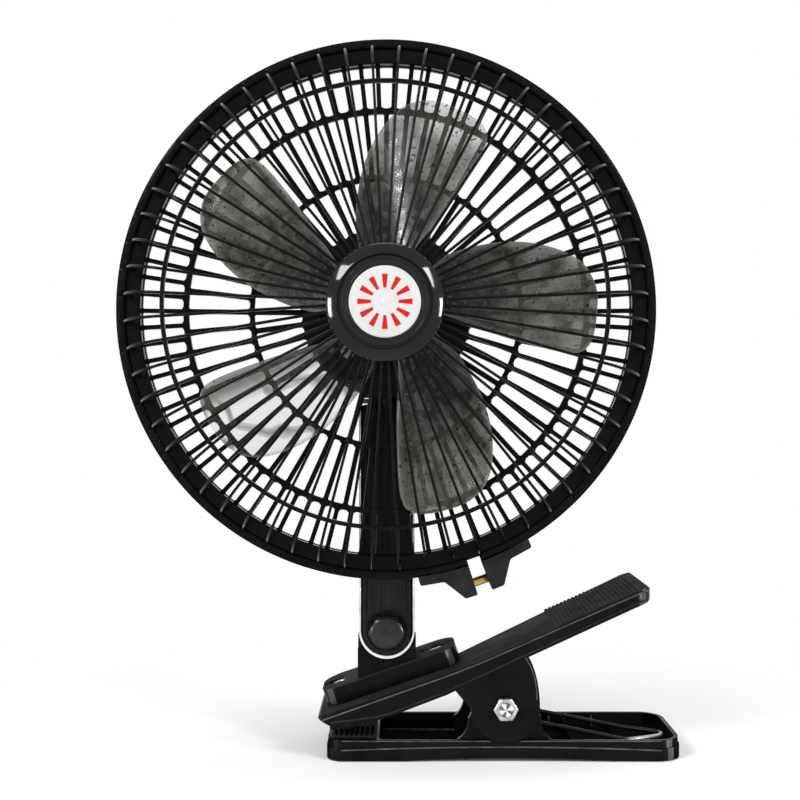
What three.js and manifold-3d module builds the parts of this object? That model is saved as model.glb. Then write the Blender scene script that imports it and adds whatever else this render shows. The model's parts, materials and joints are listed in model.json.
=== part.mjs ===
// Clip fan: a caged five-blade fan on an arm that tilts on a long spring clamp.
// Millimetres, +Z up. The fan blows towards -Y and the clamp lies along X.
// The origin is under the middle of the whole object, on the surface it stands on.

import * as THREE from "three";
import { mergeVertices } from "three/addons/utils/BufferGeometryUtils.js";
import { LoftGeometry } from "three/addons/geometries/LoftGeometry.js";
import Module from "manifold-3d";

const wasm = await Module();
wasm.setup();

const degrees = THREE.MathUtils.degToRad;

// Driving dimensions.
const gap = 0.3; // clearance between separate pieces
const guardRadius = 105;
const fanHeight = 180; // fan axis above the table
const footLeft = -24.2; // ends of the lower jaw, from the arm's centre line
const footRight = 119;
const clampHalfWidth = 24;
const clampPivot = { x: 47.6, z: 21.5 };
const tiltPivotHeight = 50;
const jawSlope = degrees(18.8);
const capFront = -78.4; // front of the hub cap, from the arm's middle
const housingBack = 46;

// The whole object is centred on its bounding box.
const middle = { x: (footRight - guardRadius) / 2, y: (capFront + housingBack + 1.9) / 2 };

const finishes = {
  blackSatin: { color: 0x17181a, roughness: 0.45, metalness: 0 },
  blackGloss: { color: 0x0b0c0e, roughness: 0.12, metalness: 0 },
  greyStreak: { color: 0x2c2d2f, roughness: 0.4, metalness: 0.1 },
  silverTrim: { color: 0xd6d8da, roughness: 0.2, metalness: 0.9 },
  smokeBlade: { color: 0x55544e, roughness: 0.15, metalness: 0 },
  rubber: { color: 0x111112, roughness: 0.85, metalness: 0 },
  zinc: { color: 0xbfc2c4, roughness: 0.3, metalness: 1 },
  brass: { color: 0xb08a3c, roughness: 0.35, metalness: 1 },
  springWire: { color: 0x9a9c9e, roughness: 0.3, metalness: 1 },
  whiteDisc: { color: 0xf2f2f0, roughness: 0.35, metalness: 0 },
  darkRing: { color: 0x232426, roughness: 0.35, metalness: 0 },
  acetal: { color: 0xe4e2da, roughness: 0.5, metalness: 0 },
};

// Solids

// A closed geometry becomes a solid, turned the right way out if need be.
function solid(geometry) {
  const bare = new THREE.BufferGeometry().copy(geometry);
  for (const name of Object.keys(bare.attributes)) if (name !== "position") bare.deleteAttribute(name);
  const merged = mergeVertices(bare, 1e-4);
  const vertProperties = new Float32Array(merged.attributes.position.array);
  const triVerts = new Uint32Array(merged.index.array);
  if (signedVolume(vertProperties, triVerts) < 0) {
    for (let i = 0; i < triVerts.length; i += 3) {
      [triVerts[i + 1], triVerts[i + 2]] = [triVerts[i + 2], triVerts[i + 1]];
    }
  }
  return new wasm.Manifold(new wasm.Mesh({ numProp: 3, vertProperties, triVerts }));
}

function signedVolume(points, triangles) {
  const [a, b, c] = [new THREE.Vector3(), new THREE.Vector3(), new THREE.Vector3()];
  let volume = 0;
  for (let i = 0; i < triangles.length; i += 3) {
    a.fromArray(points, triangles[i] * 3);
    b.fromArray(points, triangles[i + 1] * 3);
    c.fromArray(points, triangles[i + 2] * 3);
    volume += a.dot(b.cross(c)) / 6;
  }
  return volume;
}

const join = (...geometries) => geometries.map(solid).reduce((whole, next) => whole.add(next));
const joinAll = (geometries) => wasm.Manifold.union(geometries.map(solid));

function geometryOf(manifold) {
  const cut = manifold.getMesh();
  const geometry = new THREE.BufferGeometry();
  geometry.setAttribute("position", new THREE.Float32BufferAttribute(cut.vertProperties, 3));
  geometry.setIndex([...cut.triVerts]);
  geometry.computeVertexNormals();
  return geometry;
}

function piece(name, shape, finish, place = [0, 0, 0]) {
  const geometry = shape.isBufferGeometry ? geometryOf(solid(shape)) : geometryOf(shape);
  const mesh = new THREE.Mesh(geometry, new THREE.MeshStandardMaterial(finishes[finish]));
  mesh.name = name;
  mesh.position.set(...place);
  return mesh;
}

// Basic forms

// An outline drawn in X and Z, given depth along Y from yFront to yBack.
function slab(shape, yFront, yBack, curveSegments = 4) {
  const options = { depth: yBack - yFront, bevelEnabled: false, curveSegments };
  return new THREE.ExtrudeGeometry(shape, options).rotateX(Math.PI / 2).translate(0, yBack, 0);
}

// An outline drawn in X and Y, given height along Z.
function plate(shape, zLow, zHigh, curveSegments = 2) {
  const options = { depth: zHigh - zLow, bevelEnabled: false, curveSegments };
  return new THREE.ExtrudeGeometry(shape, options).translate(0, 0, zLow);
}

function block(xs, ys, zs) {
  const box = new THREE.BoxGeometry(xs[1] - xs[0], ys[1] - ys[0], zs[1] - zs[0]);
  return box.translate((xs[0] + xs[1]) / 2, (ys[0] + ys[1]) / 2, (zs[0] + zs[1]) / 2);
}

// A profile of [radius, y] points revolved about the Y axis.
function turned(profile, segments = 32) {
  return new THREE.LatheGeometry(profile.map(([r, y]) => new THREE.Vector2(r, y)), segments);
}

function rodY(radius, yFront, yBack, segments = 16) {
  const rod = new THREE.CylinderGeometry(radius, radius, yBack - yFront, segments);
  return rod.translate(0, (yFront + yBack) / 2, 0);
}

function rodZ(radius, zLow, zHigh, segments = 16) {
  return rodY(radius, zLow, zHigh, segments).rotateX(Math.PI / 2);
}

// A six-sided prism along Y, flats at the top and bottom.
function hexY(acrossFlats, yFront, yBack) {
  return rodY(acrossFlats / Math.sqrt(3), yFront, yBack, 6).rotateY(Math.PI / 2);
}

function outline(points) {
  return new THREE.Shape(points.map(([x, z]) => new THREE.Vector2(x, z)));
}

function roundedRectangle(xs, ys, leftRadius, rightRadius = leftRadius) {
  const shape = new THREE.Shape();
  shape.moveTo(xs[0] + leftRadius, ys[0]);
  shape.lineTo(xs[1] - rightRadius, ys[0]);
  shape.absarc(xs[1] - rightRadius, ys[0] + rightRadius, rightRadius, -Math.PI / 2, 0);
  shape.absarc(xs[1] - rightRadius, ys[1] - rightRadius, rightRadius, 0, Math.PI / 2);
  shape.absarc(xs[0] + leftRadius, ys[1] - leftRadius, leftRadius, Math.PI / 2, Math.PI);
  shape.absarc(xs[0] + leftRadius, ys[0] + leftRadius, leftRadius, Math.PI, 1.5 * Math.PI);
  return shape;
}

// An upright tongue or cover: straight sides, a round bottom about the origin, a flat top.
function uShape(halfWidth, top, topRadius = 2) {
  const shape = new THREE.Shape();
  shape.absarc(0, 0, halfWidth, Math.PI, 2 * Math.PI);
  shape.lineTo(halfWidth, top - topRadius);
  shape.absarc(halfWidth - topRadius, top - topRadius, topRadius, 0, Math.PI / 2);
  shape.absarc(topRadius - halfWidth, top - topRadius, topRadius, Math.PI / 2, Math.PI);
  return shape;
}

// Lower jaw

const tray = { height: 8.5, lip: 5.4, lipStep: 0.5, wall: 2.2, floor: 2.2, arch: 1.4 };
const ear = {
  radius: 13.8,
  outer: [clampHalfWidth - 3.1, clampHalfWidth - 0.1],
  inner: [clampHalfWidth - 6.6, clampHalfWidth - 3.5],
  boltHole: 2.8,
};
const padHalfWidth = clampHalfWidth - 3;

// Rubber strips let into the underside, one under each end, that the whole fan stands on.
const strips = {
  lift: 0.4,
  height: 1.5,
  halfWidth: clampHalfWidth - 1.6,
  left: [footLeft + 4.8, 4],
  right: [82, 107],
};

const footStrip = (xs) => block(xs, [-strips.halfWidth, strips.halfWidth], [0, strips.height]);

function footPocket(xs) {
  const w = strips.halfWidth + gap;
  return solid(block([xs[0] - gap, xs[1] + gap], [-w, w], [-1, strips.height + gap]));
}

function lowerJaw() {
  const side = new THREE.Shape();
  const { lift } = strips;
  side.moveTo(footLeft, lift);
  side.lineTo(6, lift);
  side.quadraticCurveTo((6 + 92) / 2, 2 * tray.arch, 92, lift);
  side.lineTo(footRight, lift);
  side.lineTo(footRight, tray.height);
  side.lineTo(footLeft, tray.height);
  const w = clampHalfWidth;
  const plan = roundedRectangle([footLeft, footRight], [-w, w], 7, 10);
  const s = tray.lipStep;
  const upperPlan = roundedRectangle([footLeft + s, footRight - s], [s - w, w - s], 7, 10);
  let body = solid(slab(side, -w, w)).intersect(
    join(plate(plan, -1, tray.lip), plate(upperPlan, tray.lip - 0.01, tray.height + 1)),
  );
  const inner = w - tray.wall;
  const hollow = roundedRectangle([-3, footRight - tray.wall], [-inner, inner], 2, 8);
  body = body.subtract(solid(plate(hollow, tray.floor + tray.arch / 2, tray.height + 1)));

  // Cross ribs under the handle and a ledge along each wall.
  for (const [x, top] of [[76, 6.2], [96, 4]]) {
    body = body.add(solid(block([x - 0.8, x + 0.8], [2 - w, w - 2], [1.6, top])));
  }
  for (const y of [2.8 - w, w - 4]) body = body.add(solid(block([-4, 30], [y, y + 1.2], [1.6, 5.6])));

  // Pockets in the walls for the upper jaw's ears, then the two inner ears with their gussets.
  const p = clampPivot;
  for (const y of [-w - 1, ear.outer[0] - gap]) {
    const pocket = block([p.x - 15, p.x + 14.6], [y, y + w + 1 - ear.outer[0] + gap], [7.2, 12]);
    body = body.subtract(solid(pocket));
  }
  const earShape = new THREE.Shape();
  earShape.moveTo(p.x - 19, 2);
  earShape.lineTo(p.x - 19, 8);
  earShape.quadraticCurveTo(p.x - 15, 10, p.x - 14.5, 16.5);
  earShape.lineTo(p.x - 10.5, 25);
  earShape.absarc(p.x, p.z, 11, degrees(160), degrees(20), true);
  earShape.lineTo(p.x + 14.5, 16.5);
  earShape.quadraticCurveTo(p.x + 15, 10, p.x + 19, 8);
  earShape.lineTo(p.x + 19, 2);
  for (const side of [-1, 1]) {
    const [a, b] = ear.inner.map((y) => y * side).sort((m, n) => m - n);
    body = body.add(solid(slab(earShape, a, b, 4)));
  }
  const hole = rodY(ear.boltHole, -w - 1, w + 1).translate(p.x, 0, p.z);
  return body.subtract(solid(hole)).subtract(footPocket(strips.left)).subtract(footPocket(strips.right));
}

// A rubber pad whose biting face is a row of teeth along X.
function toothedPad(xs, zBack, zFace, halfWidth, toothCount, toothDepth) {
  const pitch = (xs[1] - xs[0]) / toothCount;
  const points = [[xs[0], zBack], [xs[0], zFace]];
  for (let i = 0; i < toothCount; i++) {
    points.push([xs[0] + (i + 0.5) * pitch, zFace - toothDepth]);
    points.push([xs[0] + (i + 1) * pitch, zFace]);
  }
  points.push([xs[1], zBack]);
  return slab(outline(points), -halfWidth, halfWidth);
}

// Clamp spring

const spring = {
  wire: 0.9, // wire radius
  coil: 6.2, // mean coil radius
  pitch: 2.5,
  innerY: 2.4,
  turns: 3,
  topAngle: 135,
  bottomAngle: 261,
  stepsPerTurn: 8,
};

// Half of the double torsion spring, from the leg under the handle to the middle of the bail.
function springHalf(side) {
  const points = [];
  const at = (x, y, z) => points.push(new THREE.Vector3(x, y * side, z));
  const onCoil = (angle) => [spring.coil * Math.cos(angle), spring.coil * Math.sin(angle)];
  at(25.5, spring.innerY, 29.4);
  at(20, spring.innerY, 27);
  at(12.5, spring.innerY, 20.8);
  at(4, spring.innerY, 12.6);
  const total = spring.turns * 360 + spring.bottomAngle - spring.topAngle;
  const steps = Math.round((total / 360) * spring.stepsPerTurn);
  for (let i = 0; i <= steps; i++) {
    const turned = (total * i) / steps;
    const [x, z] = onCoil(degrees(spring.topAngle + turned));
    at(x, spring.innerY + (spring.pitch * turned) / 360, z);
  }
  const outerY = spring.innerY + (spring.pitch * total) / 360;
  at(16, outerY, -9.3);
  at(32, outerY, -12.4);
  at(48, outerY, -15.6);
  at(52, outerY - 0.8, -16.2);
  at(65, 3.6, -16.4);
  at(67, 0.9, -16.4);
  return points;
}

function clampSpring() {
  const front = springHalf(-1);
  const path = new THREE.CatmullRomCurve3([...front, ...springHalf(1).reverse()], false, "catmullrom", 0.35);
  const length = path.getLength();
  const curl = 2 * Math.PI * spring.coil;
  const steps = Math.round((length / curl) * spring.stepsPerTurn);
  reportSpringGap(path, length);
  const sides = 5;
  const corners = Array.from({ length: sides }, (_, i) => polar(spring.wire, (360 * i) / sides));
  return new THREE.ExtrudeGeometry(outline(corners), { steps, extrudePath: path });
}

// Least space between the wire and itself, measured between points that lie apart along it.
function reportSpringGap(path, length) {
  const count = Math.round(length);
  const points = path.getSpacedPoints(count);
  const apart = Math.round(Math.PI * spring.coil);
  let least = Infinity;
  for (let i = 0; i < count; i++) {
    for (let j = i + apart; j < count; j++) least = Math.min(least, points[i].distanceTo(points[j]));
  }
  console.log(`clamp spring: least gap to itself ${(least - 2 * spring.wire).toFixed(2)} mm`);
}

// Upper jaw
// Its own frame has the clamp pivot as origin.

const upperJawTop = [
  [-75.8, -5.4], [-74.6, -3.6], [-22, 14.3], [-16, 16.4], [-10, 18.8], [52.8, 45.2], [57, 46.8],
];
const upperJawUnder = [
  [59.3, 46], [59.3, 42], [57, 40.6], [51.8, 38.8], [10.7, 20], [-23.8, 5.2], [-46.9, -3.6],
  [-52.2, -4.9], [-70.6, -7.2],
];
const upperPad = { seat: [-52.2, -4.9], slope: degrees(7.1), length: 18.6 };

function upperJaw() {
  const w = clampHalfWidth;
  const profile = outline([...upperJawTop, ...upperJawUnder]);
  const plan = roundedRectangle([-75.8, 59.3], [-w, w], 9, 9);
  let body = solid(slab(profile, -w, w)).intersect(solid(plate(plan, -20, 60)));

  // The underside is hollow behind the nose: a top plate with side walls.
  const wall = 2.3;
  const hollow = outline([[-48, -12], [-48, 3], [-16, 13.9], [-10, 16.3], [52.8, 42.7], [56, 44], [56, 30],
    [0, -12]]);
  body = body.subtract(solid(slab(hollow, wall - w, w - wall)));

  // Grip ridges across the handle.
  const ridges = 20;
  const slope = Math.atan2(45.2 - 18.8, 52.8 + 10);
  const ridgePitch = 1.86;
  const comb = [[-1, -1.2]];
  for (let i = 0; i < ridges; i++) {
    const x = i * ridgePitch;
    comb.push([x, -0.3], [x + 0.3, 0.55], [x + 1.1, 0.55], [x + 1.35, -0.3]);
  }
  comb.push([ridges * ridgePitch, -1.2]);
  const ridgeStart = { x: 21.6, z: 18.8 + (21.6 + 10) * Math.tan(slope) };
  const grip = slab(outline(comb), -w + 3.4, w - 3.4).rotateY(-slope);
  body = body.add(solid(grip.translate(ridgeStart.x, 0, ridgeStart.z)));

  // Outer ears round the pivot.
  const earShape = new THREE.Shape();
  earShape.moveTo(-20.5, 7.6);
  earShape.lineTo(-15.5, 1.5);
  earShape.absarc(0, 0, ear.radius, Math.PI, 2 * Math.PI);
  earShape.quadraticCurveTo(13.6, 13, 9.4, 20.4);
  earShape.lineTo(-4, 17.5);
  for (const side of [-1, 1]) {
    const [a, b] = ear.outer.map((y) => y * side).sort((m, n) => m - n);
    body = body.add(solid(slab(earShape, a, b, 5)));
  }
  const hole = rodY(ear.boltHole, -w - 1, w + 1);
  return body.subtract(solid(hole));
}

// Neck base: foot plate, post and tongue in one moulding
// Drawn about the tilt pivot.

const neck = { length: 59, halfWidth: 14, height: 6.8, postHalfWidth: 12, tongue: 3.6, tongueRadius: 11 };
const tiltFromClamp = { x: -clampPivot.x, z: tiltPivotHeight - clampPivot.z };
const arm = { halfWidth: 11.4, top: 93, front: -8.8, back: 10, slot: 3.95, throat: 12.9 };

// Where the neck base meets the jaw's sloping top, seen from the tilt pivot.
const neckSeat = { x: 2.3, z: 28 - tiltPivotHeight };
const screwSpan = 42.4;

function neckBase() {
  const half = neck.length / 2;
  const foot = plate(roundedRectangle([-half, half], [-neck.halfWidth, neck.halfWidth], neck.halfWidth - 0.1),
    gap, neck.height, 3);
  const onSlope = (geometry) => geometry.rotateY(-jawSlope).translate(neckSeat.x, 0, neckSeat.z);
  let body = solid(onSlope(foot));

  // The post fills the width under the arm; the tongue rises between the arm's two cheeks.
  const w = neck.postHalfWidth;
  const post = block([-w, w], [arm.front - 1, arm.back], [-24, -7.4]);
  const tongueShape = new THREE.Shape();
  tongueShape.moveTo(-w, -24);
  tongueShape.lineTo(w, -24);
  tongueShape.lineTo(w, -3);
  tongueShape.lineTo(10.6, -3);
  tongueShape.absarc(0, 0, neck.tongueRadius, degrees(-15), degrees(195));
  tongueShape.lineTo(-10.6, -3);
  tongueShape.lineTo(-w, -3);
  body = body.add(solid(post)).add(solid(slab(tongueShape, -neck.tongue, neck.tongue)));

  // Round seats for the cheeks of the arm.
  const seat = arm.halfWidth + gap + 0.1;
  body = body.subtract(solid(rodY(seat, arm.front - 3, -neck.tongue, 24)));
  body = body.subtract(solid(rodY(seat, neck.tongue, arm.back + 1, 24)));
  body = body.subtract(solid(rodY(3.3, -neck.tongue - 1, neck.tongue + 1)));

  // Nothing passes below the jaw's top face.
  const below = onSlope(block([-60, 60], [-30, 30], [-40, gap]));
  body = body.subtract(solid(below));

  // Counterbored screw holes.
  for (const side of [-1, 1]) {
    const x = (side * screwSpan) / 2;
    body = body.subtract(solid(onSlope(rodZ(3.4, 4.2, 9, 12).translate(x, 0, 0))));
    body = body.subtract(solid(onSlope(rodZ(1.7, -1, 5, 10).translate(x, 0, 0))));
  }
  return body;
}

function neckScrew() {
  return turned([[0, 0.6], [1.35, 0.6], [1.35, 4.5], [3.0, 4.5], [3.0, 5.7], [1.8, 6.3], [0, 6.3]], 10)
    .rotateX(Math.PI / 2);
}

// Arm
// Its own frame has the tilt pivot as origin.

const swivel = { bore: 6.9, depth: 14, postRadius: 6.5, bushRadius: 10.6, bushHeight: 2 };

function armBody() {
  let body = solid(slab(uShape(arm.halfWidth, arm.top, 3), arm.front, arm.back));

  // The slot for the tongue, with a round throat that lets the arm tilt.
  const slot = join(
    rodY(arm.throat, -arm.slot, arm.slot, 24),
    block([-14, 14], [-arm.slot, arm.slot], [-14, 0]),
  );
  body = body.subtract(slot);
  body = body.subtract(solid(rodY(3.3, arm.front - 1, arm.back + 1)));
  body = body.subtract(solid(hexY(8.6, 7.2, arm.back + 1)));

  // A wire channel open to the front, and the bore that the head turns in.
  body = body.subtract(solid(block([-8.6, 8.6], [arm.front - 1, 7.8], [15.5, 74])));
  body = body.subtract(solid(rodZ(swivel.bore, arm.top - swivel.depth, arm.top + 1, 20)));
  body = body.subtract(solid(rodZ(3, 70, arm.top, 10)));
  return body;
}

const cover = { halfWidth: 9.9, front: -10.8, trimWidth: 1.35, trimFront: -11.3 };

function armCover() {
  const shape = uShape(cover.halfWidth, arm.top - 0.6, 2);
  return solid(slab(shape, cover.front, arm.front - gap)).subtract(
    solid(rodY(3.3, cover.front - 1, arm.front)),
  );
}

// A bright strip round the sides and foot of the cover.
function armTrim() {
  const inner = cover.halfWidth + 0.15;
  const outerShape = uShape(inner + cover.trimWidth, arm.top, 3);
  const window = uShape(inner, arm.top + 5, 1);
  return solid(slab(outerShape, cover.trimFront, arm.front - gap)).subtract(
    solid(slab(window, cover.trimFront - 1, arm.front)),
  );
}

const knob = { acrossFlats: 13.2, front: -17.2, back: -11.2, boltRadius: 2.9 };

function tiltKnob() {
  const body = solid(hexY(knob.acrossFlats, knob.front, knob.back));
  const dome = turned([[0, knob.front], [3, knob.front + 0.15], [6.2, knob.front + 1.1],
    [7.9, knob.front + 2.6], [7.9, knob.back], [0, knob.back]], 18);
  const socket = rodY(knob.boltRadius + gap, knob.back - 3, knob.back + 1);
  return body.intersect(solid(dome)).subtract(solid(socket));
}

function tiltBolt() {
  return rodY(knob.boltRadius, knob.back - 2.6, 10.4, 14);
}

function nut(acrossFlats, bore, yFront, yBack) {
  const chamfer = turned([[0, yFront], [acrossFlats / 2, yFront], [acrossFlats / 2 + 0.9, yFront + 0.6],
    [acrossFlats / 2 + 0.9, yBack], [0, yBack]], 12);
  return solid(hexY(acrossFlats, yFront, yBack))
    .intersect(solid(chamfer))
    .subtract(solid(rodY(bore, yFront - 1, yBack + 1, 12)));
}

// Head
// Its own frame has the fan axis and the swing axis crossing at the origin.

const rim = { inner: 96, outer: 102.7, front: [-37, -33.2], rear: [-32.9, -29] };
const cage = {
  frontRibs: 60,
  ribWidth: 1.3,
  ribDepth: 2.6,
  hubRadius: 20,
  hubFront: -74.4,
  ringRadius: 82.8,
  ringFront: -66.4,
  ribEnd: 101.6,
};

// Stations along a rib, from the hub to the rim, as [radius, y] with the slope of the profile there.
// A station with a ring starts a hoop that runs on to the next station.
function ribStations() {
  const { ringRadius, ringFront, hubRadius, hubFront, ribEnd } = cage;
  const rise = Math.atan2(ringFront - hubFront, ringRadius - hubRadius);
  const hoop = 1.5;
  const stations = [
    { r: hubRadius, y: hubFront, slope: rise },
    { r: ringRadius - hoop, y: ringFront - hoop * Math.tan(rise), slope: rise, ring: true },
  ];
  const steps = 4;
  for (let i = 0; i < steps; i++) {
    const angle = (Math.PI / 2) * (i / (steps - 1));
    const r = ringRadius + (ribEnd - ringRadius) * Math.sin(angle);
    const y = rim.front[0] + 1 - (rim.front[0] + 1 - ringFront) * Math.cos(angle);
    stations.push({ r, y, slope: Math.max(angle, rise) });
  }
  return stations;
}

// A cage of revolution: equal ribs, a hub disc inside the first station and hoops where
// a station asks for one, all of one thickness measured square to the profile.
function ribbedShell(stations, ribCount, ribWidth, thickness) {
  const points = [];
  const faces = [];
  const addPoint = (r, y, angle) => points.push(r * Math.cos(angle), y, r * Math.sin(angle)) / 3 - 1;
  const quad = (a, b, c, d) => faces.push(a, b, c, a, c, d);
  const corner = (station, rib, side, back) => {
    const inset = back ? thickness : 0;
    const r = station.r - inset * Math.sin(station.slope);
    const y = station.y + inset * Math.cos(station.slope);
    const angle = (2 * Math.PI * (rib + 0.5)) / ribCount + (side * ribWidth) / 2 / r;
    return addPoint(r, y, angle);
  };
  const ids = stations.map((station) =>
    Array.from({ length: ribCount }, (_, rib) =>
      [0, 1].map((back) => [-1, 1].map((side) => corner(station, rib, side, back))),
    ),
  );
  const hubFront = addPoint(0, stations[0].y, 0);
  const hubBack = addPoint(0, stations[0].y + thickness, 0);
  const last = stations.length - 1;
  for (let rib = 0; rib < ribCount; rib++) {
    const next = (rib + 1) % ribCount;
    for (let s = 0; s < last; s++) {
      const [front0, back0] = ids[s][rib];
      const [front1, back1] = ids[s + 1][rib];
      const [nextFront0, nextBack0] = ids[s][next];
      const [nextFront1, nextBack1] = ids[s + 1][next];
      quad(front0[0], front1[0], front1[1], front0[1]);
      quad(back0[0], back0[1], back1[1], back1[0]);
      if (stations[s].ring) {
        quad(front0[1], front1[1], nextFront1[0], nextFront0[0]);
        quad(back0[1], nextBack0[0], nextBack1[0], back1[1]);
        quad(front0[1], nextFront0[0], nextBack0[0], back0[1]);
        quad(front1[1], back1[1], nextBack1[0], nextFront1[0]);
      } else {
        quad(front0[1], front1[1], back1[1], back0[1]);
        quad(front0[0], back0[0], back1[0], front1[0]);
      }
    }
    const [front, back] = ids[0][rib];
    const [nextFront, nextBack] = ids[0][next];
    faces.push(hubFront, front[0], front[1], hubFront, front[1], nextFront[0]);
    faces.push(hubBack, back[1], back[0], hubBack, nextBack[0], back[1]);
    quad(front[1], back[1], nextBack[0], nextFront[0]);
    const [endFront, endBack] = ids[last][rib];
    quad(endFront[0], endBack[0], endBack[1], endFront[1]);
  }
  const geometry = new THREE.BufferGeometry();
  geometry.setAttribute("position", new THREE.Float32BufferAttribute(points, 3));
  geometry.setIndex(faces);
  return geometry;
}

function frontGrille() {
  const shell = ribbedShell(ribStations(), cage.frontRibs, cage.ribWidth, cage.ribDepth);
  const flatRim = turned([[rim.inner, rim.front[0]], [rim.outer, rim.front[0]], [rim.outer, rim.front[1]],
    [rim.inner, rim.front[1]], [rim.inner, rim.front[0]]], cage.frontRibs);
  return join(shell, flatRim);
}

// Rear grille: rings joined by straight ribs, more of them towards the rim, drawn flat as one
// plate with windows and then dished back towards the motor.
const rearZones = [
  { inner: 34, outer: 52.9, ribs: 44, width: 2.2 },
  { inner: 54.9, outer: 78.4, ribs: 60, width: 2.0 },
  { inner: 80.6, outer: 96, ribs: 90, width: 1.8 },
];
const rearThickness = 2.8;
const rearDish = [[0, -21.2], [34, -21.2], [53.9, -22.6], [79.5, -28.2], [96, -31.6], [200, -31.6]];

function dishAt(radius) {
  for (let i = 1; i < rearDish.length; i++) {
    const [r0, y0] = rearDish[i - 1];
    const [r1, y1] = rearDish[i];
    if (radius <= r1) return y0 + ((y1 - y0) * (radius - r0)) / (r1 - r0);
  }
  return rearDish.at(-1)[1];
}

function rearGrille() {
  const disc = new THREE.Shape();
  disc.absarc(0, 0, rim.outer, 0, 2 * Math.PI);
  for (const zone of rearZones) {
    for (let i = 0; i < zone.ribs; i++) disc.holes.push(ribWindow(zone, i));
  }
  const flat = slab(disc, 0, rearThickness, 24);
  const points = flat.attributes.position;
  for (let i = 0; i < points.count; i++) {
    const radius = Math.hypot(points.getX(i), points.getZ(i));
    points.setY(i, points.getY(i) + dishAt(radius));
  }
  let body = solid(flat).subtract(solid(rodY(9, -30, -10, 20)));
  for (const screw of grilleScrewPlaces) {
    body = body.subtract(solid(rodY(1.9, -30, -10, 8).translate(screw.x, 0, screw.z)));
  }
  return body;
}

// The gap between two neighbouring ribs of one zone.
function ribWindow(zone, index) {
  const pitch = (2 * Math.PI) / zone.ribs;
  const from = index * pitch;
  const corner = (radius, end) => {
    const inset = zone.width / 2 / radius;
    const angle = end ? from + pitch - inset : from + inset;
    return new THREE.Vector2(radius * Math.cos(angle), radius * Math.sin(angle));
  };
  const { inner, outer } = zone;
  return new THREE.Path([corner(inner, 0), corner(outer, 0), corner(outer, 1), corner(inner, 1)]);
}

const grilleScrewPlaces = [45, 135, 225, 315].map((a) => ({
  x: 22 * Math.cos(degrees(a)),
  z: 22 * Math.sin(degrees(a)),
}));

// A split band of C section closes over both rims and is drawn tight by one screw.
const band = { radius: guardRadius, wall: 1.7, lip: 3.3, front: -38.4, back: -27.4, thick: 1.1 };
const lugAngle = -70.7; // middle of the split, from +X
const split = { halfAngle: 1.45, blockAngle: 11, blockRadius: 108.4, tip: 116.6 };

function rimBand() {
  const inner = band.radius - band.wall;
  const section = [[band.radius - band.lip, band.front], [band.radius, band.front], [band.radius, band.back],
    [band.radius - band.lip, band.back], [band.radius - band.lip, band.back - band.thick],
    [inner, band.back - band.thick], [inner, band.front + band.thick],
    [band.radius - band.lip, band.front + band.thick], [band.radius - band.lip, band.front]];
  let body = solid(turned(section, 48));
  for (const side of [-1, 1]) body = body.add(lug(side));
  const cut = wedge(lugAngle - split.halfAngle, lugAngle + split.halfAngle, 90, 125);
  body = body.subtract(solid(slab(cut, band.front - 1, band.back + 1)));
  for (const [from, to] of [[-17, -9], [9, 17]]) {
    body = body.subtract(solid(alongScrew(rodY(3.8, from, to, 10))));
  }
  return body.subtract(solid(alongScrew(rodY(1.9, -12, 12, 10))));
}

function polar(radius, angle) {
  return [radius * Math.cos(degrees(angle)), radius * Math.sin(degrees(angle))];
}

function wedge(a0, a1, r0, r1) {
  return outline([polar(r0, a0), polar(r1, a0), polar(r1, a1), polar(r0, a1)]);
}

// One end of the band: a thick block and a tapered ear that the screw goes through.
function lug(side) {
  const a = (offset) => lugAngle + side * offset;
  const low = band.radius - 1.2;
  const shape = outline([
    polar(low, a(split.halfAngle - 0.5)), polar(split.tip, a(split.halfAngle - 0.5)),
    polar(split.tip, a(3.9)), polar(split.blockRadius, a(7.2)),
    polar(split.blockRadius, a(12.2)), polar(low, a(12.6)), polar(low, a(7)),
  ]);
  return solid(slab(shape, band.front, band.back));
}

const screwRadius = 112.2;

// Turns a shape drawn along Y so that it lies across the split, at the screw's height.
function alongScrew(geometry) {
  const middleY = (band.front + band.back) / 2;
  const [x, z] = polar(screwRadius, lugAngle);
  return geometry.rotateZ(-Math.PI / 2).rotateY(degrees(-lugAngle - 90)).translate(x, middleY, z);
}

function bandScrew() {
  return alongScrew(turned([[0, -11.2], [3.0, -11.2], [3.0, -9.4], [1.55, -9.2], [1.55, 12], [0, 12]], 12));
}

function bandNut() {
  const ring = solid(rodY(5.5 / Math.sqrt(3), 9.4, 11.5, 6)).subtract(solid(rodY(1.85, 8, 13, 10)));
  return geometryOf(ring);
}

// Hub cap: a glossy sloping bezel round a dark stepped ring and a plain disc.
const cap = { radius: 21.4, back: -74.8, bezel: 16.9, ring: 13.3, front: capFront };

function hubCap() {
  return turned([[0, cap.back], [cap.radius, cap.back], [cap.radius, cap.back - 0.9],
    [cap.radius - 1.6, cap.front + 0.7], [cap.bezel + 1, cap.front], [cap.bezel, cap.front + 0.3],
    [cap.bezel, cap.front + 1.9], [0, cap.front + 1.9]], 24);
}

function capRing() {
  const outer = cap.bezel - 0.25;
  const back = cap.front + 1.9 - gap;
  return turned([[cap.ring, back], [outer, back], [outer, cap.front + 0.8], [outer - 1.6, cap.front + 0.8],
    [outer - 1.8, cap.front + 0.4], [cap.ring, cap.front + 0.4], [cap.ring, back]], 24);
}

function badge() {
  const back = cap.front + 1.9 - gap;
  return turned([[0, back], [cap.ring - 0.3, back], [cap.ring - 0.3, cap.front + 0.5],
    [cap.ring - 0.6, cap.front + 0.3], [0, cap.front + 0.3]], 16);
}

// Rotor

const rotor = { hub: 17.5, front: -62, back: -39, blades: 5, middle: -48 };

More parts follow.
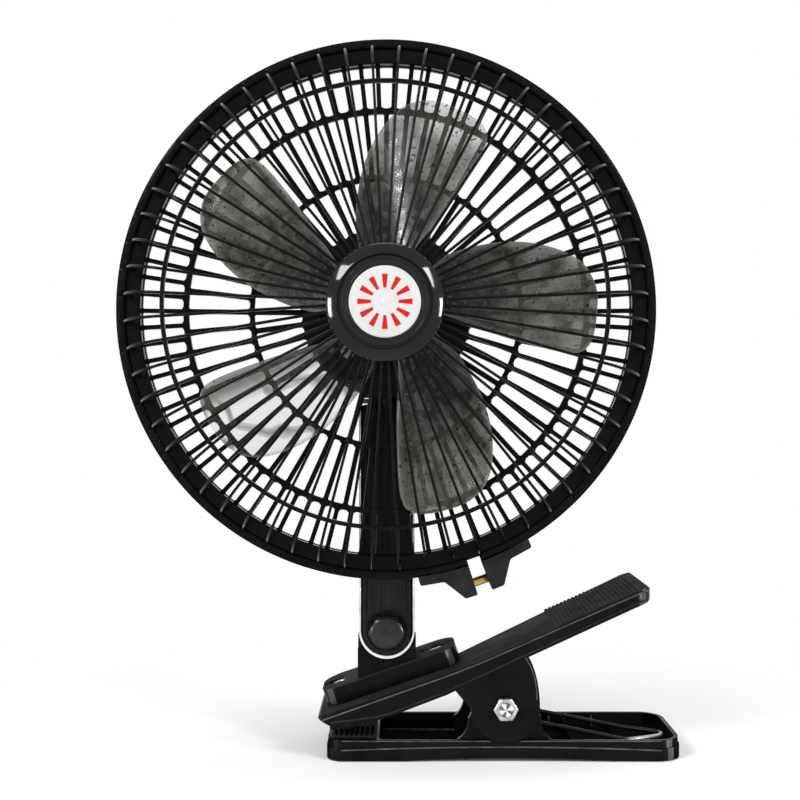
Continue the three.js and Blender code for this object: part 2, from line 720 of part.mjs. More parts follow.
// Blade edges at a radius, as angles from the blade's tip line: the round trailing edge and the
// straighter leading edge. Pitch eases from the root to the tip.
const bladeStations = [
  { r: 16.5, trailing: 47, leading: -2, pitch: 40 },
  { r: 28, trailing: 41.5, leading: -7.5, pitch: 37 },
  { r: 42, trailing: 33.5, leading: -11.5, pitch: 32 },
  { r: 60, trailing: 24, leading: -12.8, pitch: 25.5 },
  { r: 74, trailing: 15, leading: -12.4, pitch: 21.5 },
  { r: 79.2, trailing: 8.2, leading: -9.6, pitch: 20.5 },
  { r: 80.5, trailing: 2.6, leading: -4.4, pitch: 20 },
];
const bladeThickness = 1.5;
const bladeCamber = 0.07;

function bladeSection(station) {
  const { r, trailing, leading, pitch } = station;
  const arc = degrees(trailing - leading) * r;
  const middleAngle = degrees((trailing + leading) / 2);
  const slope = Math.tan(degrees(pitch));
  const front = [];
  const back = [];
  const across = 4;
  for (let i = 0; i <= across; i++) {
    const t = i / across - 0.5;
    const angle = middleAngle + (arc * t) / r;
    const bow = bladeCamber * arc * (1 - 4 * t * t);
    const y = rotor.middle - t * arc * slope + bow;
    const half = (bladeThickness / 2) * (i === 0 || i === across ? 0.45 : 1);
    front.push(new THREE.Vector3(r * Math.cos(angle), y - half, r * Math.sin(angle)));
    back.push(new THREE.Vector3(r * Math.cos(angle), y + half, r * Math.sin(angle)));
  }
  return [...back, ...front.reverse()];
}

function fanRotor() {
  const parts = [];
  for (let i = 0; i < rotor.blades; i++) {
    const blade = new LoftGeometry(bladeStations.map(bladeSection), { capStart: true, capEnd: true });
    parts.push(blade.rotateY(degrees(-71 - (360 / rotor.blades) * i)));
  }
  const { hub, front, back } = rotor;
  parts.push(turned([[0, front], [hub - 4, front], [hub - 1, front + 1], [hub, front + 3.4], [hub, back],
    [hub - 2, back], [hub - 2, front + 6], [5.5, front + 6], [5.5, back + 4], [0, back + 4]], 20));
  const bore = rodY(shaft.radius + gap, front - 1, back + 6, 12);
  return joinAll(parts).subtract(solid(bore));
}

// Motor, housing and swing drive

const shaft = { radius: 1.6, front: -65.5, back: 34 };
const motor = { radius: 26, front: -12, back: 16, wall: 4, boss: 6 };
const housing = { radius: 33, wall: 2, front: -18.1, joint: 18, back: housingBack };
const worm = { radius: 2.6, teeth: 24, wheelRadius: 9.2, y: 27.5 };
const clutch = { x: worm.radius + worm.wheelRadius + 0.5, rod: 2.2 };

function motorCan() {
  const { radius, front, back, wall, boss } = motor;
  const bore = shaft.radius + gap;
  const inside = radius - wall;
  return turned([[bore, front - 2.5], [boss, front - 2.5], [boss, front], [radius - 2, front],
    [radius, front + 2], [radius, back - 2], [radius - 2, back], [boss, back], [boss, back + 2.5],
    [bore, back + 2.5], [bore, back - wall], [inside, back - wall], [inside, front + wall],
    [bore, front + wall], [bore, front - 2.5]], 12);
}

// Laminated core and windings, carried by the shaft inside the can.
function armature() {
  const bore = shaft.radius + gap;
  return turned([[bore, -7], [9, -7], [14, -5], [14, 9], [9, 11], [bore, 11], [bore, -7]], 10);
}

function motorShaft() {
  return turned([[0, shaft.front], [shaft.radius, shaft.front], [shaft.radius, worm.y - 6],
    [worm.radius, worm.y - 5.5], [worm.radius, worm.y + 5.5], [shaft.radius, worm.y + 6],
    [shaft.radius, shaft.back], [0, shaft.back]], 10);
}

function housingFront() {
  const r = housing.radius;
  const w = housing.wall;
  const { front, joint } = housing;
  const shell = turned([[8, front], [r - 3, front], [r, front + 3], [r, joint], [r - w, joint],
    [r - w, front + 3], [8, front + w], [8, front]], 22);
  const neckCollar = rodZ(swivel.bushRadius, -34.4, -r + 3.2, 20);
  let body = join(shell, neckCollar);
  const inside = rodY(r - w, front + 3.2, joint + 1, 22);
  body = body.subtract(solid(inside));
  body = body.subtract(solid(rodZ(swivel.postRadius + gap, -40, -26, 20)));
  for (const screw of grilleScrewPlaces) {
    body = body.subtract(solid(rodY(1.6, -30, -10, 8).translate(screw.x, 0, screw.z)));
  }
  return body;
}

function grilleScrew() {
  const head = [[0, -23.6], [2.2, -23.6], [3, -22.9], [3, -21.5]];
  return turned([...head, [1.3, -21.4], [1.3, -16.6], [0, -16.6]], 8);
}

// A hollow post: the head turns on it in the arm's bore, and the wires pass through it.
function swivelPost() {
  const r = swivel.postRadius;
  const flange = r + 1.3;
  const profile = [[3, -48], [r - 0.5, -48], [r, -47.4], [r, -29.3], [flange, -29.3], [flange, -27.6],
    [3, -27.6], [3, -48]];
  return turned(profile, 14).rotateX(Math.PI / 2);
}

function housingRear() {
  const r = housing.radius;
  const w = housing.wall;
  const face = r - 9;
  const start = housing.joint + gap;
  const back = housing.back;
  const shell = turned([[r, start], [r, back - 14], [r - 3, back - 5], [face, back], [0, back],
    [0, back - w], [face - 0.8, back - w], [r - 5, back - 6], [r - w, back - 14.4], [r - w, start],
    [r, start]], 22);
  let body = solid(shell);

  // Boss for the swing knob, open inside.
  const boss = rodZ(8, 24, 35.6, 16).translate(clutch.x, worm.y, 0);
  body = body.add(solid(boss)).subtract(solid(rodY(r - w - 0.2, start - 1, back - 14.4, 22)));
  body = body.subtract(solid(rodZ(clutch.rod + gap, 20, 37, 12).translate(clutch.x, worm.y, 0)));

  // Air slots above, the switch window and the wire hole below.
  for (let i = 0; i < 6; i++) {
    const z = 3 + i * 3;
    const half = 14 - i * 0.7;
    body = body.subtract(solid(block([-half, half], [back - w - 1, back + 1], [z, z + 1.6])));
  }
  body = body.subtract(solid(block([-7, 7], [back - w - 1, back + 1], [-10.6, -1.4])));
  body = body.subtract(solid(rodY(3.3, back - w - 1, back + 1).translate(0, 0, -17.5)));
  return body;
}

function swingKnob() {
  return turned([[0, 7], [clutch.rod, 7], [clutch.rod, 36.1], [6.4, 36.1], [6.8, 37], [6.2, 43], [5, 44.2],
    [0, 44.4]], 16).rotateX(Math.PI / 2);
}

// Worm wheel of the swing drive, on an upright axis beside the worm.
function wormWheel() {
  const teeth = worm.teeth;
  const shape = new THREE.Shape();
  for (let i = 0; i < teeth * 2; i++) {
    const radius = i % 2 ? worm.wheelRadius : worm.wheelRadius - 0.9;
    const angle = (Math.PI * (i + 0.5)) / teeth;
    const point = [radius * Math.cos(angle), radius * Math.sin(angle)];
    if (i) shape.lineTo(...point);
    else shape.moveTo(...point);
  }
  return join(plate(shape, -2.5, 2.5), rodZ(3.6, -4, 4.5, 10), rodZ(1.5, -20, 0, 8));
}

// Back plate of the motor, with a bearing block for the worm wheel's spindle and a post beside the worm.
function gearPlate() {
  const { x } = clutch;
  const disc = rodY(24, 18.9, 27, 14);
  const bearing = block([x - 6, x + 6], [22, 33], [-20, -5]);
  const post = block([-14, -4.5], [22, 33], [-9, 9]);
  return join(disc, bearing, post)
    .subtract(solid(block([2.4, 23], [18, 38], [-5, 5.5])))
    .subtract(solid(block([x - 2.6, x + 2.6], [24.9, 38], [5, 30])))
    .subtract(solid(rodY(3.2, 18, 38, 12)))
    .subtract(solid(rodZ(1.8, -21, -4, 8).translate(x, worm.y, 0)));
}

const rocker = { z: -6, halfWidth: 4.9, halfHeight: 3.1 };

function switchBody() {
  const back = housing.back;
  const outer = block([-6.7, 6.7], [back - 11, back + 0.9], [-4.3, 4.3]);
  const flange = block([-7.9, 7.9], [back + 0.3, back + 1.1], [-5.5, 5.5]);
  const well = block([-rocker.halfWidth - 0.4, rocker.halfWidth + 0.4], [back - 6, back + 2],
    [-rocker.halfHeight - 0.4, rocker.halfHeight + 0.4]);
  return join(outer, flange).subtract(solid(well));
}

// The rocker's own frame has its pivot as origin.
function switchRocker() {
  const h = rocker.halfHeight;
  const shape = outline([
    [-3, -1.6], [-1, 0.4 - h], [1.9, -h], [1.5, 0], [1.9, h], [-1, h - 0.4], [-3, 1.6],
  ]);
  return plate(shape, -rocker.halfWidth, rocker.halfWidth).rotateY(Math.PI / 2).rotateX(Math.PI / 2);
}

function cordGland() {
  const back = housing.back;
  return turned([[1.6, back - 4], [2.9, back - 4], [2.9, back + 0.3], [4.4, back + 0.3], [4, back + 1.6],
    [1.6, back + 1.6], [1.6, back - 4]], 10);
}

// Assembly

function rotorGroup() {
  const group = new THREE.Group();
  group.add(piece("fan_rotor", fanRotor(), "smokeBlade"));
  group.add(piece("motor_shaft", motorShaft(), "zinc"));
  group.add(piece("armature", armature(), "zinc"));
  const clip = nut(7, shaft.radius + gap, rotor.front - 3.6, rotor.front - gap);
  group.add(piece("blade_nut", clip, "blackSatin"));
  return group;
}

function headGroup() {
  const group = new THREE.Group();
  group.add(piece("front_grille", frontGrille(), "blackSatin"));
  group.add(piece("rear_grille", rearGrille(), "blackSatin"));
  group.add(piece("rim_band", rimBand(), "blackSatin"));
  group.add(piece("band_screw", bandScrew(), "brass"));
  group.add(piece("band_nut", alongScrew(bandNut()), "zinc"));
  group.add(piece("hub_cap", hubCap(), "blackGloss"));
  group.add(piece("cap_ring", capRing(), "darkRing"));
  group.add(piece("badge", badge(), "whiteDisc"));
  group.add(piece("motor_housing_front", housingFront(), "blackSatin"));
  group.add(piece("motor_housing_rear", housingRear(), "blackSatin"));
  group.add(piece("motor_can", motorCan(), "zinc"));
  group.add(piece("gear_plate", gearPlate(), "zinc"));
  group.add(piece("swivel_post", swivelPost(), "zinc"));
  grilleScrewPlaces.forEach(({ x, z }, i) => {
    group.add(piece(`grille_screw_${i + 1}`, grilleScrew(), "zinc", [x, 0, z]));
  });
  group.add(piece("swing_knob", swingKnob(), "blackSatin", [clutch.x, worm.y, 0]));
  group.add(piece("worm_wheel", wormWheel(), "acetal", [clutch.x, worm.y, 0]));
  group.add(piece("speed_switch_body", switchBody(), "blackSatin", [0, 0, rocker.z]));
  group.add(piece("speed_switch_rocker", switchRocker(), "blackGloss", [0, housing.back, rocker.z]));
  group.add(piece("cord_gland", cordGland(), "rubber", [0, 0, -17.5]));
  group.add(rotorGroup());
  return group;
}

function armGroup() {
  const group = new THREE.Group();
  group.add(piece("arm", armBody(), "blackSatin"));
  group.add(piece("arm_cover", armCover(), "greyStreak"));
  group.add(piece("arm_trim", armTrim(), "silverTrim"));
  group.add(piece("tilt_knob", tiltKnob(), "blackSatin"));
  group.add(piece("tilt_bolt", tiltBolt(), "zinc"));
  group.add(piece("tilt_nut", nut(8, knob.boltRadius + gap, 7.5, 10.2), "zinc"));
  const bush = turned([[swivel.postRadius + 0.4, 0.2], [swivel.bushRadius, 0.2], [swivel.bushRadius, 2.2],
    [swivel.postRadius + 0.4, 2.2], [swivel.postRadius + 0.4, 0.2]], 14).rotateX(Math.PI / 2);
  group.add(piece("swivel_bush", bush, "acetal", [0, 0, arm.top + 0.1]));
  const head = headGroup();
  head.position.z = fanHeight - tiltPivotHeight;
  group.add(head);
  return group;
}

function upperJawGroup() {
  const group = new THREE.Group();
  group.add(piece("upper_jaw", upperJaw(), "blackSatin"));
  const pad = piece("upper_jaw_pad", toothedPad([-upperPad.length, 0], -gap, -1.7, padHalfWidth, 9, 1.1), "rubber");
  pad.rotation.y = -upperPad.slope;
  pad.position.set(upperPad.seat[0], 0, upperPad.seat[1]);
  group.add(pad);
  const neckGroup = new THREE.Group();
  neckGroup.position.set(tiltFromClamp.x, 0, tiltFromClamp.z);
  neckGroup.add(piece("neck_base", neckBase(), "blackSatin"));
  for (const [i, side] of [-1, 1].entries()) {
    const screw = piece(`neck_screw_${i + 1}`, neckScrew(), "zinc");
    const along = (side * screwSpan) / 2;
    screw.rotation.y = -jawSlope;
    screw.position.set(neckSeat.x + along * Math.cos(jawSlope), 0, neckSeat.z + along * Math.sin(jawSlope));
    neckGroup.add(screw);
  }
  neckGroup.add(armGroup());
  group.add(neckGroup);
  return group;
}

function pivotBolt() {
  const w = clampHalfWidth;
  return turned([[0, -w - 3.8], [2.45, -w - 3.8], [2.45, w + gap], [4.6, w + gap], [4.6, w + 2.6],
    [3.4, w + 3.6], [0, w + 3.6]], 12);
}

function clipFan() {
  const group = new THREE.Group();
  group.add(piece("lower_jaw", lowerJaw(), "blackSatin"));
  group.add(piece("lower_jaw_pad", toothedPad([footLeft + 2, -4], 8.8, 9.3, padHalfWidth, 9, -1.1), "rubber"));
  group.add(piece("foot_strip_left", footStrip(strips.left), "rubber"));
  group.add(piece("foot_strip_right", footStrip(strips.right), "rubber"));
  const place = [clampPivot.x, 0, clampPivot.z];
  group.add(piece("pivot_bolt", pivotBolt(), "zinc", place));
  const w = clampHalfWidth;
  group.add(piece("pivot_nut", nut(8.6, 2.75, -w - 3.4, -w - gap), "zinc", place));
  group.add(piece("clamp_spring", clampSpring(), "springWire", place));
  const upper = upperJawGroup();
  upper.position.set(clampPivot.x, 0, clampPivot.z);
  group.add(upper);
  group.position.set(-middle.x, -middle.y, 0);
  return group;
}

const group = clipFan();
export default group;
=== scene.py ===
import json
import math
from functools import partial

import bmesh
import bpy
from mathutils import Matrix, Vector


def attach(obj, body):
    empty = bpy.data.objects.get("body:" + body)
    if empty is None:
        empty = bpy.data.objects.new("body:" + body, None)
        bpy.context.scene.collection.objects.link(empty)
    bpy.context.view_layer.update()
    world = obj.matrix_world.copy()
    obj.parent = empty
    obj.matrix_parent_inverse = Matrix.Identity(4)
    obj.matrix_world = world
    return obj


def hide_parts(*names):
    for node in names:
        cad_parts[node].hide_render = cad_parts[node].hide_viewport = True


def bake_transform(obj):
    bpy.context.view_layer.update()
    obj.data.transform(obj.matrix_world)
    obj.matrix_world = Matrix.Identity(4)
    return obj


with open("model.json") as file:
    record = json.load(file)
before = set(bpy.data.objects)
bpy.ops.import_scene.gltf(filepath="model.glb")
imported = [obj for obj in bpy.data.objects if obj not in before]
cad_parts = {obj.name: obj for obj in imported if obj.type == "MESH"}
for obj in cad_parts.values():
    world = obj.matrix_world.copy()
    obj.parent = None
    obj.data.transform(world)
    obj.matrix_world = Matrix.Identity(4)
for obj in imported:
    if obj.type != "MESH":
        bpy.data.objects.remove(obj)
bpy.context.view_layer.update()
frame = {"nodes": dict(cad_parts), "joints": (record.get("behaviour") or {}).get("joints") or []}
scene = bpy.context.scene

mm = 0.001
degree = math.pi / 180
pivotOf = {joint["name"]: Vector(joint["pos_m"]) / mm for joint in frame["joints"] if "pos_m" in joint}
fanAxis = pivotOf["rotor_spin"]
tiltPivot = pivotOf["arm_tilt"]
clampPivot = pivotOf["clamp_open"]
armFoot = Vector((tiltPivot.x, tiltPivot.y, 0))
partOrigin = Vector((0, 0, 0))


# Outlines

def polar(radius, angle):
    return (radius * math.cos(angle * degree), radius * math.sin(angle * degree))


def arc(centre, radius, start, end, steps):
    ends = [polar(radius, start + (end - start) * i / steps) for i in range(steps + 1)]
    return [(centre[0] + x, centre[1] + y) for x, y in ends]


def circle(radius, x=0.0, y=0.0, count=24):
    return arc((x, y), radius, 0, 360 - 360 / count, count - 1)


def hexagon(flats, turn=0):
    return [polar(flats / math.sqrt(3), 60 * i + turn) for i in range(6)]


def corners(left, right, low, high):
    return [(left, low), (right, low), (right, high), (left, high)]


def between(a, control, b, steps):
    # A curve from a to b that leans towards the control point.
    turns = [i / steps for i in range(steps + 1)]
    return [tuple((1 - t) ** 2 * a[k] + 2 * t * (1 - t) * control[k] + t * t * b[k] for k in (0, 1)) for t in turns]


def rounded(points, radius=0, steps=4):
    # Each corner of the outline becomes a short arc; a third number on a point is its own radius.
    result = []
    for i, point in enumerate(points):
        corner = Vector(point[:2])
        own = point[2] if len(point) > 2 else radius
        toBefore = Vector(points[i - 1][:2]) - corner
        toAfter = Vector(points[(i + 1) % len(points)][:2]) - corner
        tooShort = min(toBefore.length, toAfter.length) < 1e-6
        if own <= 0 or tooShort or not 2 * degree <= toBefore.angle(toAfter) <= 172 * degree:
            result.append(tuple(corner))
            continue
        reach = own / math.tan(toBefore.angle(toAfter) / 2)
        reach = min(reach, 0.48 * toBefore.length, 0.48 * toAfter.length)
        first, last = [corner + side.normalized() * reach for side in (toBefore, toAfter)]
        result += between(first, corner, last, steps)
    return result


def roundedBox(xs, ys, left, right, steps=12):
    return (arc((xs[1] - right, ys[0] + right), right, -90, 0, steps)
            + arc((xs[1] - right, ys[1] - right), right, 0, 90, steps)
            + arc((xs[0] + left, ys[1] - left), left, 90, 180, steps)
            + arc((xs[0] + left, ys[0] + left), left, 180, 270, steps))


def tongueOutline(half, top, topRadius):
    # Straight sides over a round foot, as on the arm and its cover.
    return (arc((0, 0), half, 180, 360, 48)
            + arc((half - topRadius, top - topRadius), topRadius, 0, 90, 8)
            + arc((topRadius - half, top - topRadius), topRadius, 90, 180, 8))


def eased(table, position):
    # A smooth curve through the rows of a table.
    i = min(int(position), len(table) - 2)
    t = position - i
    rows = [table[max(i - 1, 0)], table[i], table[i + 1], table[min(i + 2, len(table) - 1)]]
    return [0.5 * (2 * b + (c - a) * t + (2 * a - 5 * b + 4 * c - d) * t ** 2 + (3 * b - a - 3 * c + d) * t ** 3)
            for a, b, c, d in zip(*rows)]


# Meshes

def rawMesh(points, edges, faces):
    mesh = bpy.data.meshes.new("part")
    mesh.from_pydata([tuple(c * mm for c in p) for p in points], edges, faces)
    return mesh


def tidied(mesh, flatten=0.0):
    work = bmesh.new()
    work.from_mesh(mesh)
    bmesh.ops.remove_doubles(work, verts=work.verts, dist=2e-6)
    if flatten:
        bmesh.ops.dissolve_limit(work, angle_limit=flatten * degree, verts=work.verts, edges=work.edges)
    bmesh.ops.recalc_face_normals(work, faces=work.faces)
    work.to_mesh(mesh)
    work.free()
    return mesh


def lofted(rings, closed=False, split=False):
    # A skin over rings of points. Closed joins the last ring to the first; split leaves each ring open.
    count, size = len(rings), len(rings[0])

    def at(i, j):
        return i % count * size + j % size

    faces = [] if closed else [tuple(range(size)), tuple(range((count - 1) * size, count * size))[::-1]]
    faces += [(at(i, j), at(i, j + 1), at(i + 1, j + 1), at(i + 1, j))
              for i in range(count if closed else count - 1) for j in range(size - 1 if split else size)]
    return rawMesh([point for ring in rings for point in ring], [], faces)


def slab(outline, front, back):
    # An outline in X and Z given depth along Y.
    return tidied(lofted([[(x, y, z) for x, z in outline] for y in (front, back)]))


def plate(outline, low, high):
    # An outline in X and Y given height along Z.
    return tidied(lofted([[(x, y, z) for x, y in outline] for z in (low, high)]))


def block(xs, ys, zs):
    return slab(corners(*xs, *zs), *ys)


def lathe(profile, segments=96, start=0.0, sweep=360.0):
    # A profile of [radius, y] turned about Y. A part turn is closed with the profile at both ends.
    whole = sweep >= 360
    turns = [polar(1, start + sweep * i / segments) for i in range(segments if whole else segments + 1)]
    onAxis = profile[0][0] == 0 and profile[-1][0] == 0
    return tidied(lofted([[(r * c, y, r * s) for r, y in profile] for c, s in turns], whole, onAxis))


def rod(radius, front, back, segments=32):
    return lathe([(0, front), (radius, front), (radius, back), (0, back)], segments)


def sweepBar(path, widths, depth, corner, cornerSteps=3):
    # A bar along a path of [radius, y] points, its outer face on the path and its inner face depth behind.
    rings = []
    for i, (r, y) in enumerate(path):
        before, after = path[max(i - 1, 0)], path[min(i + 1, len(path) - 1)]
        along = Vector((after[0] - before[0], after[1] - before[1])).normalized()
        half = widths[i] / 2
        section = rounded(corners(-half, half, 0, -depth), corner, cornerSteps)
        rings.append([(r + along.y * a, y - along.x * a, b) for b, a in section])
    return tidied(lofted(rings))


def moved(mesh, x=0.0, y=0.0, z=0.0, tilt=0.0):
    # Tilt turns about Y first, in degrees, with its positive end upwards.
    mesh.transform(Matrix.Translation(Vector((x, y, z)) * mm) @ Matrix.Rotation(-tilt * degree, 4, "Y"))
    return mesh


def shown(mesh, name="work"):
    thing = bpy.data.objects.new(name, mesh)
    scene.collection.objects.link(thing)
    return thing


def applied(thing):
    mesh = bpy.data.meshes.new_from_object(thing.evaluated_get(bpy.context.evaluated_depsgraph_get()))
    bpy.data.objects.remove(thing)
    return mesh


def combined(operation, base, *others):
    body = shown(base)
    tools = [shown(mesh) for mesh in others]
    for tool in tools:
        step = body.modifiers.new("combine", "BOOLEAN")
        step.object = tool
        step.operation = operation
        step.solver = "MANIFOLD"
    mesh = applied(body)
    for tool in tools:
        bpy.data.objects.remove(tool)
    return mesh


united, cut, common = [partial(combined, operation) for operation in ("UNION", "DIFFERENCE", "INTERSECT")]


def softened(mesh, width, segments=3, angle=30.0):
    # Rounds the sharp edges, as a mould or a tumbler leaves them.
    body = shown(tidied(mesh, flatten=0.6))
    step = body.modifiers.new("soften", "BEVEL")
    step.width = width * mm
    step.segments = segments
    step.limit_method = "ANGLE"
    step.angle_limit = angle * degree
    return applied(body)


def nodeCopy(name, width):
    mesh = frame["nodes"][name].data.copy()
    mesh.materials.clear()
    return softened(mesh, width, 2)


def joined(meshes):
    # One mesh of several, each keeping its own material.
    things = [shown(mesh) for mesh in meshes]
    if len(things) > 1:
        with bpy.context.temp_override(active_object=things[0], selected_editable_objects=things):
            bpy.ops.object.join()
    return applied(things[0])


# Node trees

def addNode(tree, kind, inputs=(), output=0, **settings):
    # Adds a node and gives back one of its outputs. Each input is a value or another node's output.
    # Inputs come by name, or in order as a list. A kind without Node in its name is a shader node.
    node = tree.nodes.new(kind if "Node" in kind else "ShaderNode" + kind)
    for name, value in settings.items():
        setattr(node, name, value)
    for key, value in inputs.items() if isinstance(inputs, dict) else enumerate(inputs):
        if isinstance(value, bpy.types.NodeSocket):
            tree.links.new(value, node.inputs[key])
        else:
            node.inputs[key].default_value = value
    return node.outputs[output] if node.outputs else None


def newTree(name, inputs):
    tree = bpy.data.node_groups.new(name, "GeometryNodeTree")
    tree.interface.new_socket("Geometry", in_out="OUTPUT", socket_type="NodeSocketGeometry")
    for label, kind in {"Geometry": "Geometry", "Material": "Material", **inputs}.items():
        tree.interface.new_socket(label, in_out="INPUT", socket_type="NodeSocket" + kind)
    add = partial(addNode, tree)
    return tree, add, add("NodeGroupInput").node.outputs


def finishTree(tree, add, geometry, material):
    real = add("GeometryNodeRealizeInstances", {"Geometry": geometry})
    coloured = add("GeometryNodeSetMaterial", {"Geometry": real, "Material": material})
    add("NodeGroupOutput", {"Geometry": coloured})
    return tree


def grown(mesh, tree, values):
    # Runs a geometry tree on a mesh, with its inputs set by name.
    body = shown(mesh)
    step = body.modifiers.new("grow", "NODES")
    step.node_group = tree
    for socket in tree.interface.items_tree:
        if socket.in_out == "INPUT" and socket.name in values:
            step[socket.identifier] = values[socket.name]
    return applied(body)


def copiesTree():
    # Copies of one form, each a step further along and a turn further round Y; each knows its number.
    tree, add, given = newTree("copies", {"Count": "Int", "Step": "Vector", "Start": "Float", "Turn": "Float"})
    dots = add("GeometryNodePoints", {"Count": given["Count"]})
    number = add("GeometryNodeInputIndex")
    offset = add("VectorMath", {0: given["Step"], "Scale": number}, operation="SCALE")
    spread = add("GeometryNodeSetPosition", {"Geometry": dots, "Offset": offset})
    turned = add("Math", [number, given["Turn"], given["Start"]], operation="MULTIPLY_ADD")
    copies = add("GeometryNodeInstanceOnPoints",
                 {"Points": spread, "Instance": given["Geometry"], "Rotation": add("CombineXYZ", {"Y": turned})})
    kept = add("GeometryNodeStoreNamedAttribute", {"Geometry": copies, "Name": "turn", "Value": number},
               data_type="FLOAT", domain="INSTANCE")
    return finishTree(tree, add, kept, given["Material"])


def wireTree():
    # A round wire along a chain of edges.
    tree, add, given = newTree("wireAlong", {"Radius": "Float", "Sides": "Int"})
    curve = add("GeometryNodeMeshToCurve", {"Mesh": given["Geometry"]})
    ring = add("GeometryNodeCurvePrimitiveCircle", {"Radius": given["Radius"], "Resolution": given["Sides"]})
    tube = add("GeometryNodeCurveToMesh", {"Curve": curve, "Profile Curve": ring, "Fill Caps": True})
    return finishTree(tree, add, tube, given["Material"])


copiesOf, wireAlong = copiesTree(), wireTree()


def ringOf(mesh, count, turn, start, material):
    return grown(mesh, copiesOf, {"Count": count, "Turn": -turn * degree, "Start": -start * degree,
                                  "Material": material})


def rowOf(mesh, count, pitch, material):
    return grown(mesh, copiesOf, {"Count": count, "Step": (pitch * mm, 0.0, 0.0), "Material": material})


# Materials

def linear(colour):
    # An sRGB colour such as "#808080" as the linear values that the shader works in.
    values = [int(colour[i:i + 2], 16) / 255 for i in (1, 3, 5)]
    return (*[v / 12.92 if v <= 0.04045 else ((v + 0.055) / 1.055) ** 2.4 for v in values], 1.0)


def newMaterial(name):
    material = bpy.data.materials.new(name)
    material.use_nodes = True
    material.node_tree.nodes.clear()
    add = partial(addNode, material.node_tree)
    return material, add, add("TexCoord", output="Object")


def shaded(material, add, inputs):
    add("OutputMaterial", {"Surface": add("BsdfPrincipled", inputs)})
    return material


def patches(add, coords, size, low=0.0, high=1.0, fromLow=0.3, fromHigh=0.7, detail=3.0):
    # A value that wanders from low to high in soft patches about size millimetres across.
    noise = add("TexNoise", {"Vector": coords, "Scale": 1 / (size * mm), "Detail": detail}, "Fac")
    return add("MapRange", [noise, fromLow, fromHigh, low, high])


def layered(add, base, *layers):
    # A colour with others laid over it, each with the amount of it that shows.
    tone = linear(base)
    for amount, colour in layers:
        tone = add("Mix", {0: amount, 6: tone, 7: linear(colour)}, 2, data_type="RGBA")
    return tone


def aboutY(add, coords, centre, count, wave):
    # The place seen along Y from a centre, and a wave that runs round that centre count times.
    place = add("VectorMath", [coords, (1, 0, 1), (-centre.x * mm, 0, -centre.z * mm)], operation="MULTIPLY_ADD")
    x, _, z = add("SeparateXYZ", [place]).node.outputs
    turn = add("Math", [z, x], operation="ARCTAN2")
    return place, add("Math", [add("Math", [turn, count], operation="MULTIPLY")], operation=wave)


def surface(name, tones, toneSize, roughness, roughSize, grain, metallic=0.0, specular=0.5, stretch=None):
    # Two tones in soft patches, roughness that wanders, and a fine grain of [size, height] in millimetres.
    material, add, coords = newMaterial(name)
    if stretch:
        coords = add("Mapping", {"Vector": coords, "Scale": stretch})
    height = add("TexNoise", {"Vector": coords, "Scale": 1 / (grain[0] * mm), "Detail": 2.0}, "Fac")
    return shaded(material, add, {
        "Base Color": layered(add, tones[0], (patches(add, coords, toneSize), tones[1])),
        "Roughness": patches(add, coords, roughSize, *roughness),
        "Normal": add("Bump", {"Strength": 1.0, "Distance": grain[1] * mm, "Height": height}),
        "Metallic": metallic, "Specular IOR Level": specular})


# Moulded polypropylene: deep black whose faint grain breaks long highlights.
blackPolypropylene = surface(
    "blackPolypropylene", ("#060707", "#0f1010"), 14, (0.26, 0.38), 6, (0.35, 0.006), specular=0.06)
# A lighter, shinier copy of the plastic, laid on rounded edges, beads and corners: painted highlight lines.
paintedHighlightPolypropylene = surface(
    "paintedHighlightPolypropylene", ("#2b2d2e", "#494b4c"), 5, (0.22, 0.34), 3, (0.3, 0.003), specular=0.25)
# A duller, slightly lighter copy of the plastic. On upward faces, picked by their facing, it is painted light: a
# lighter top with less sheen, so wide faces stay dark at a low angle. It also covers the handle's ridges, a bead and
# the band's lugs.
dulledAndPaintedLightPolypropylene = surface(
    "dulledAndPaintedLightPolypropylene", ("#18191a", "#292a2b"), 11, (0.6, 0.75), 5, (0.35, 0.01), specular=0.03)
# Near-black and rough: painted shade inside the tray and on the guard's outer rib ends.
paintedShadePolypropylene = surface(
    "paintedShadePolypropylene", ("#050505", "#0d0e0e"), 9, (0.7, 0.85), 5, (0.5, 0.02), specular=0.01)
# The knob is a harder, greyer moulding with a wet shine.
knobAbs = surface("knobAbs", ("#0d0d0e", "#202022"), 4, (0.16, 0.28), 3, (0.5, 0.004), specular=0.3)
# Blackened steel for what stands behind the guard, where it has to stay unseen.
blackenedSteel = surface("blackenedSteel", ("#0b0b0c", "#181819"), 6, (0.35, 0.5), 3, (0.3, 0.003), specular=0.1)
# The guard's thinner mouldings come out glossier, so each rib carries a sharp line of light.
guardPolypropylene = surface(
    "guardPolypropylene", ("#050606", "#0c0d0d"), 9, (0.16, 0.26), 4, (0.5, 0.004), specular=0.07)
# Polished ABS: a near mirror in which the softboxes show.
polishedAbs = surface("polishedAbs", ("#030303", "#070707"), 20, (0.05, 0.1), 8, (0.9, 0.001), specular=0.28)
# The stepped ring is a little greyer and duller, so its fine edges read against the bezel.
ringAbs = surface("ringAbs", ("#0f1010", "#1a1b1c"), 7, (0.2, 0.32), 3, (0.3, 0.003), specular=0.2)
# Brushed upright: fine streaks run down the cover.
brushedCover = surface("brushedCover", ("#090a0a", "#212223"), 1.1, (0.3, 0.5), 1.6, (0.5, 0.006),
                       specular=0.12, stretch=(1.0, 1.0, 0.03))
# Chromed trim: almost a mirror, with a faint haze.
platedTrim = surface("platedTrim", ("#c9cbce", "#eceded"), 6, (0.14, 0.26), 3, (0.4, 0.001), metallic=1.0)
# Dull rubber that shows wear only as lighter patches.
nitrileRubber = surface("nitrileRubber", ("#0c0c0c", "#191919"), 3, (0.7, 0.9), 1.5, (0.25, 0.02), specular=0.12)
# Bright zinc: a patchy blue-white spangle.
zincPlate = surface("zincPlate", ("#8f9294", "#cfd1d2"), 2.4, (0.2, 0.36), 1.2, (0.2, 0.002), metallic=1.0)
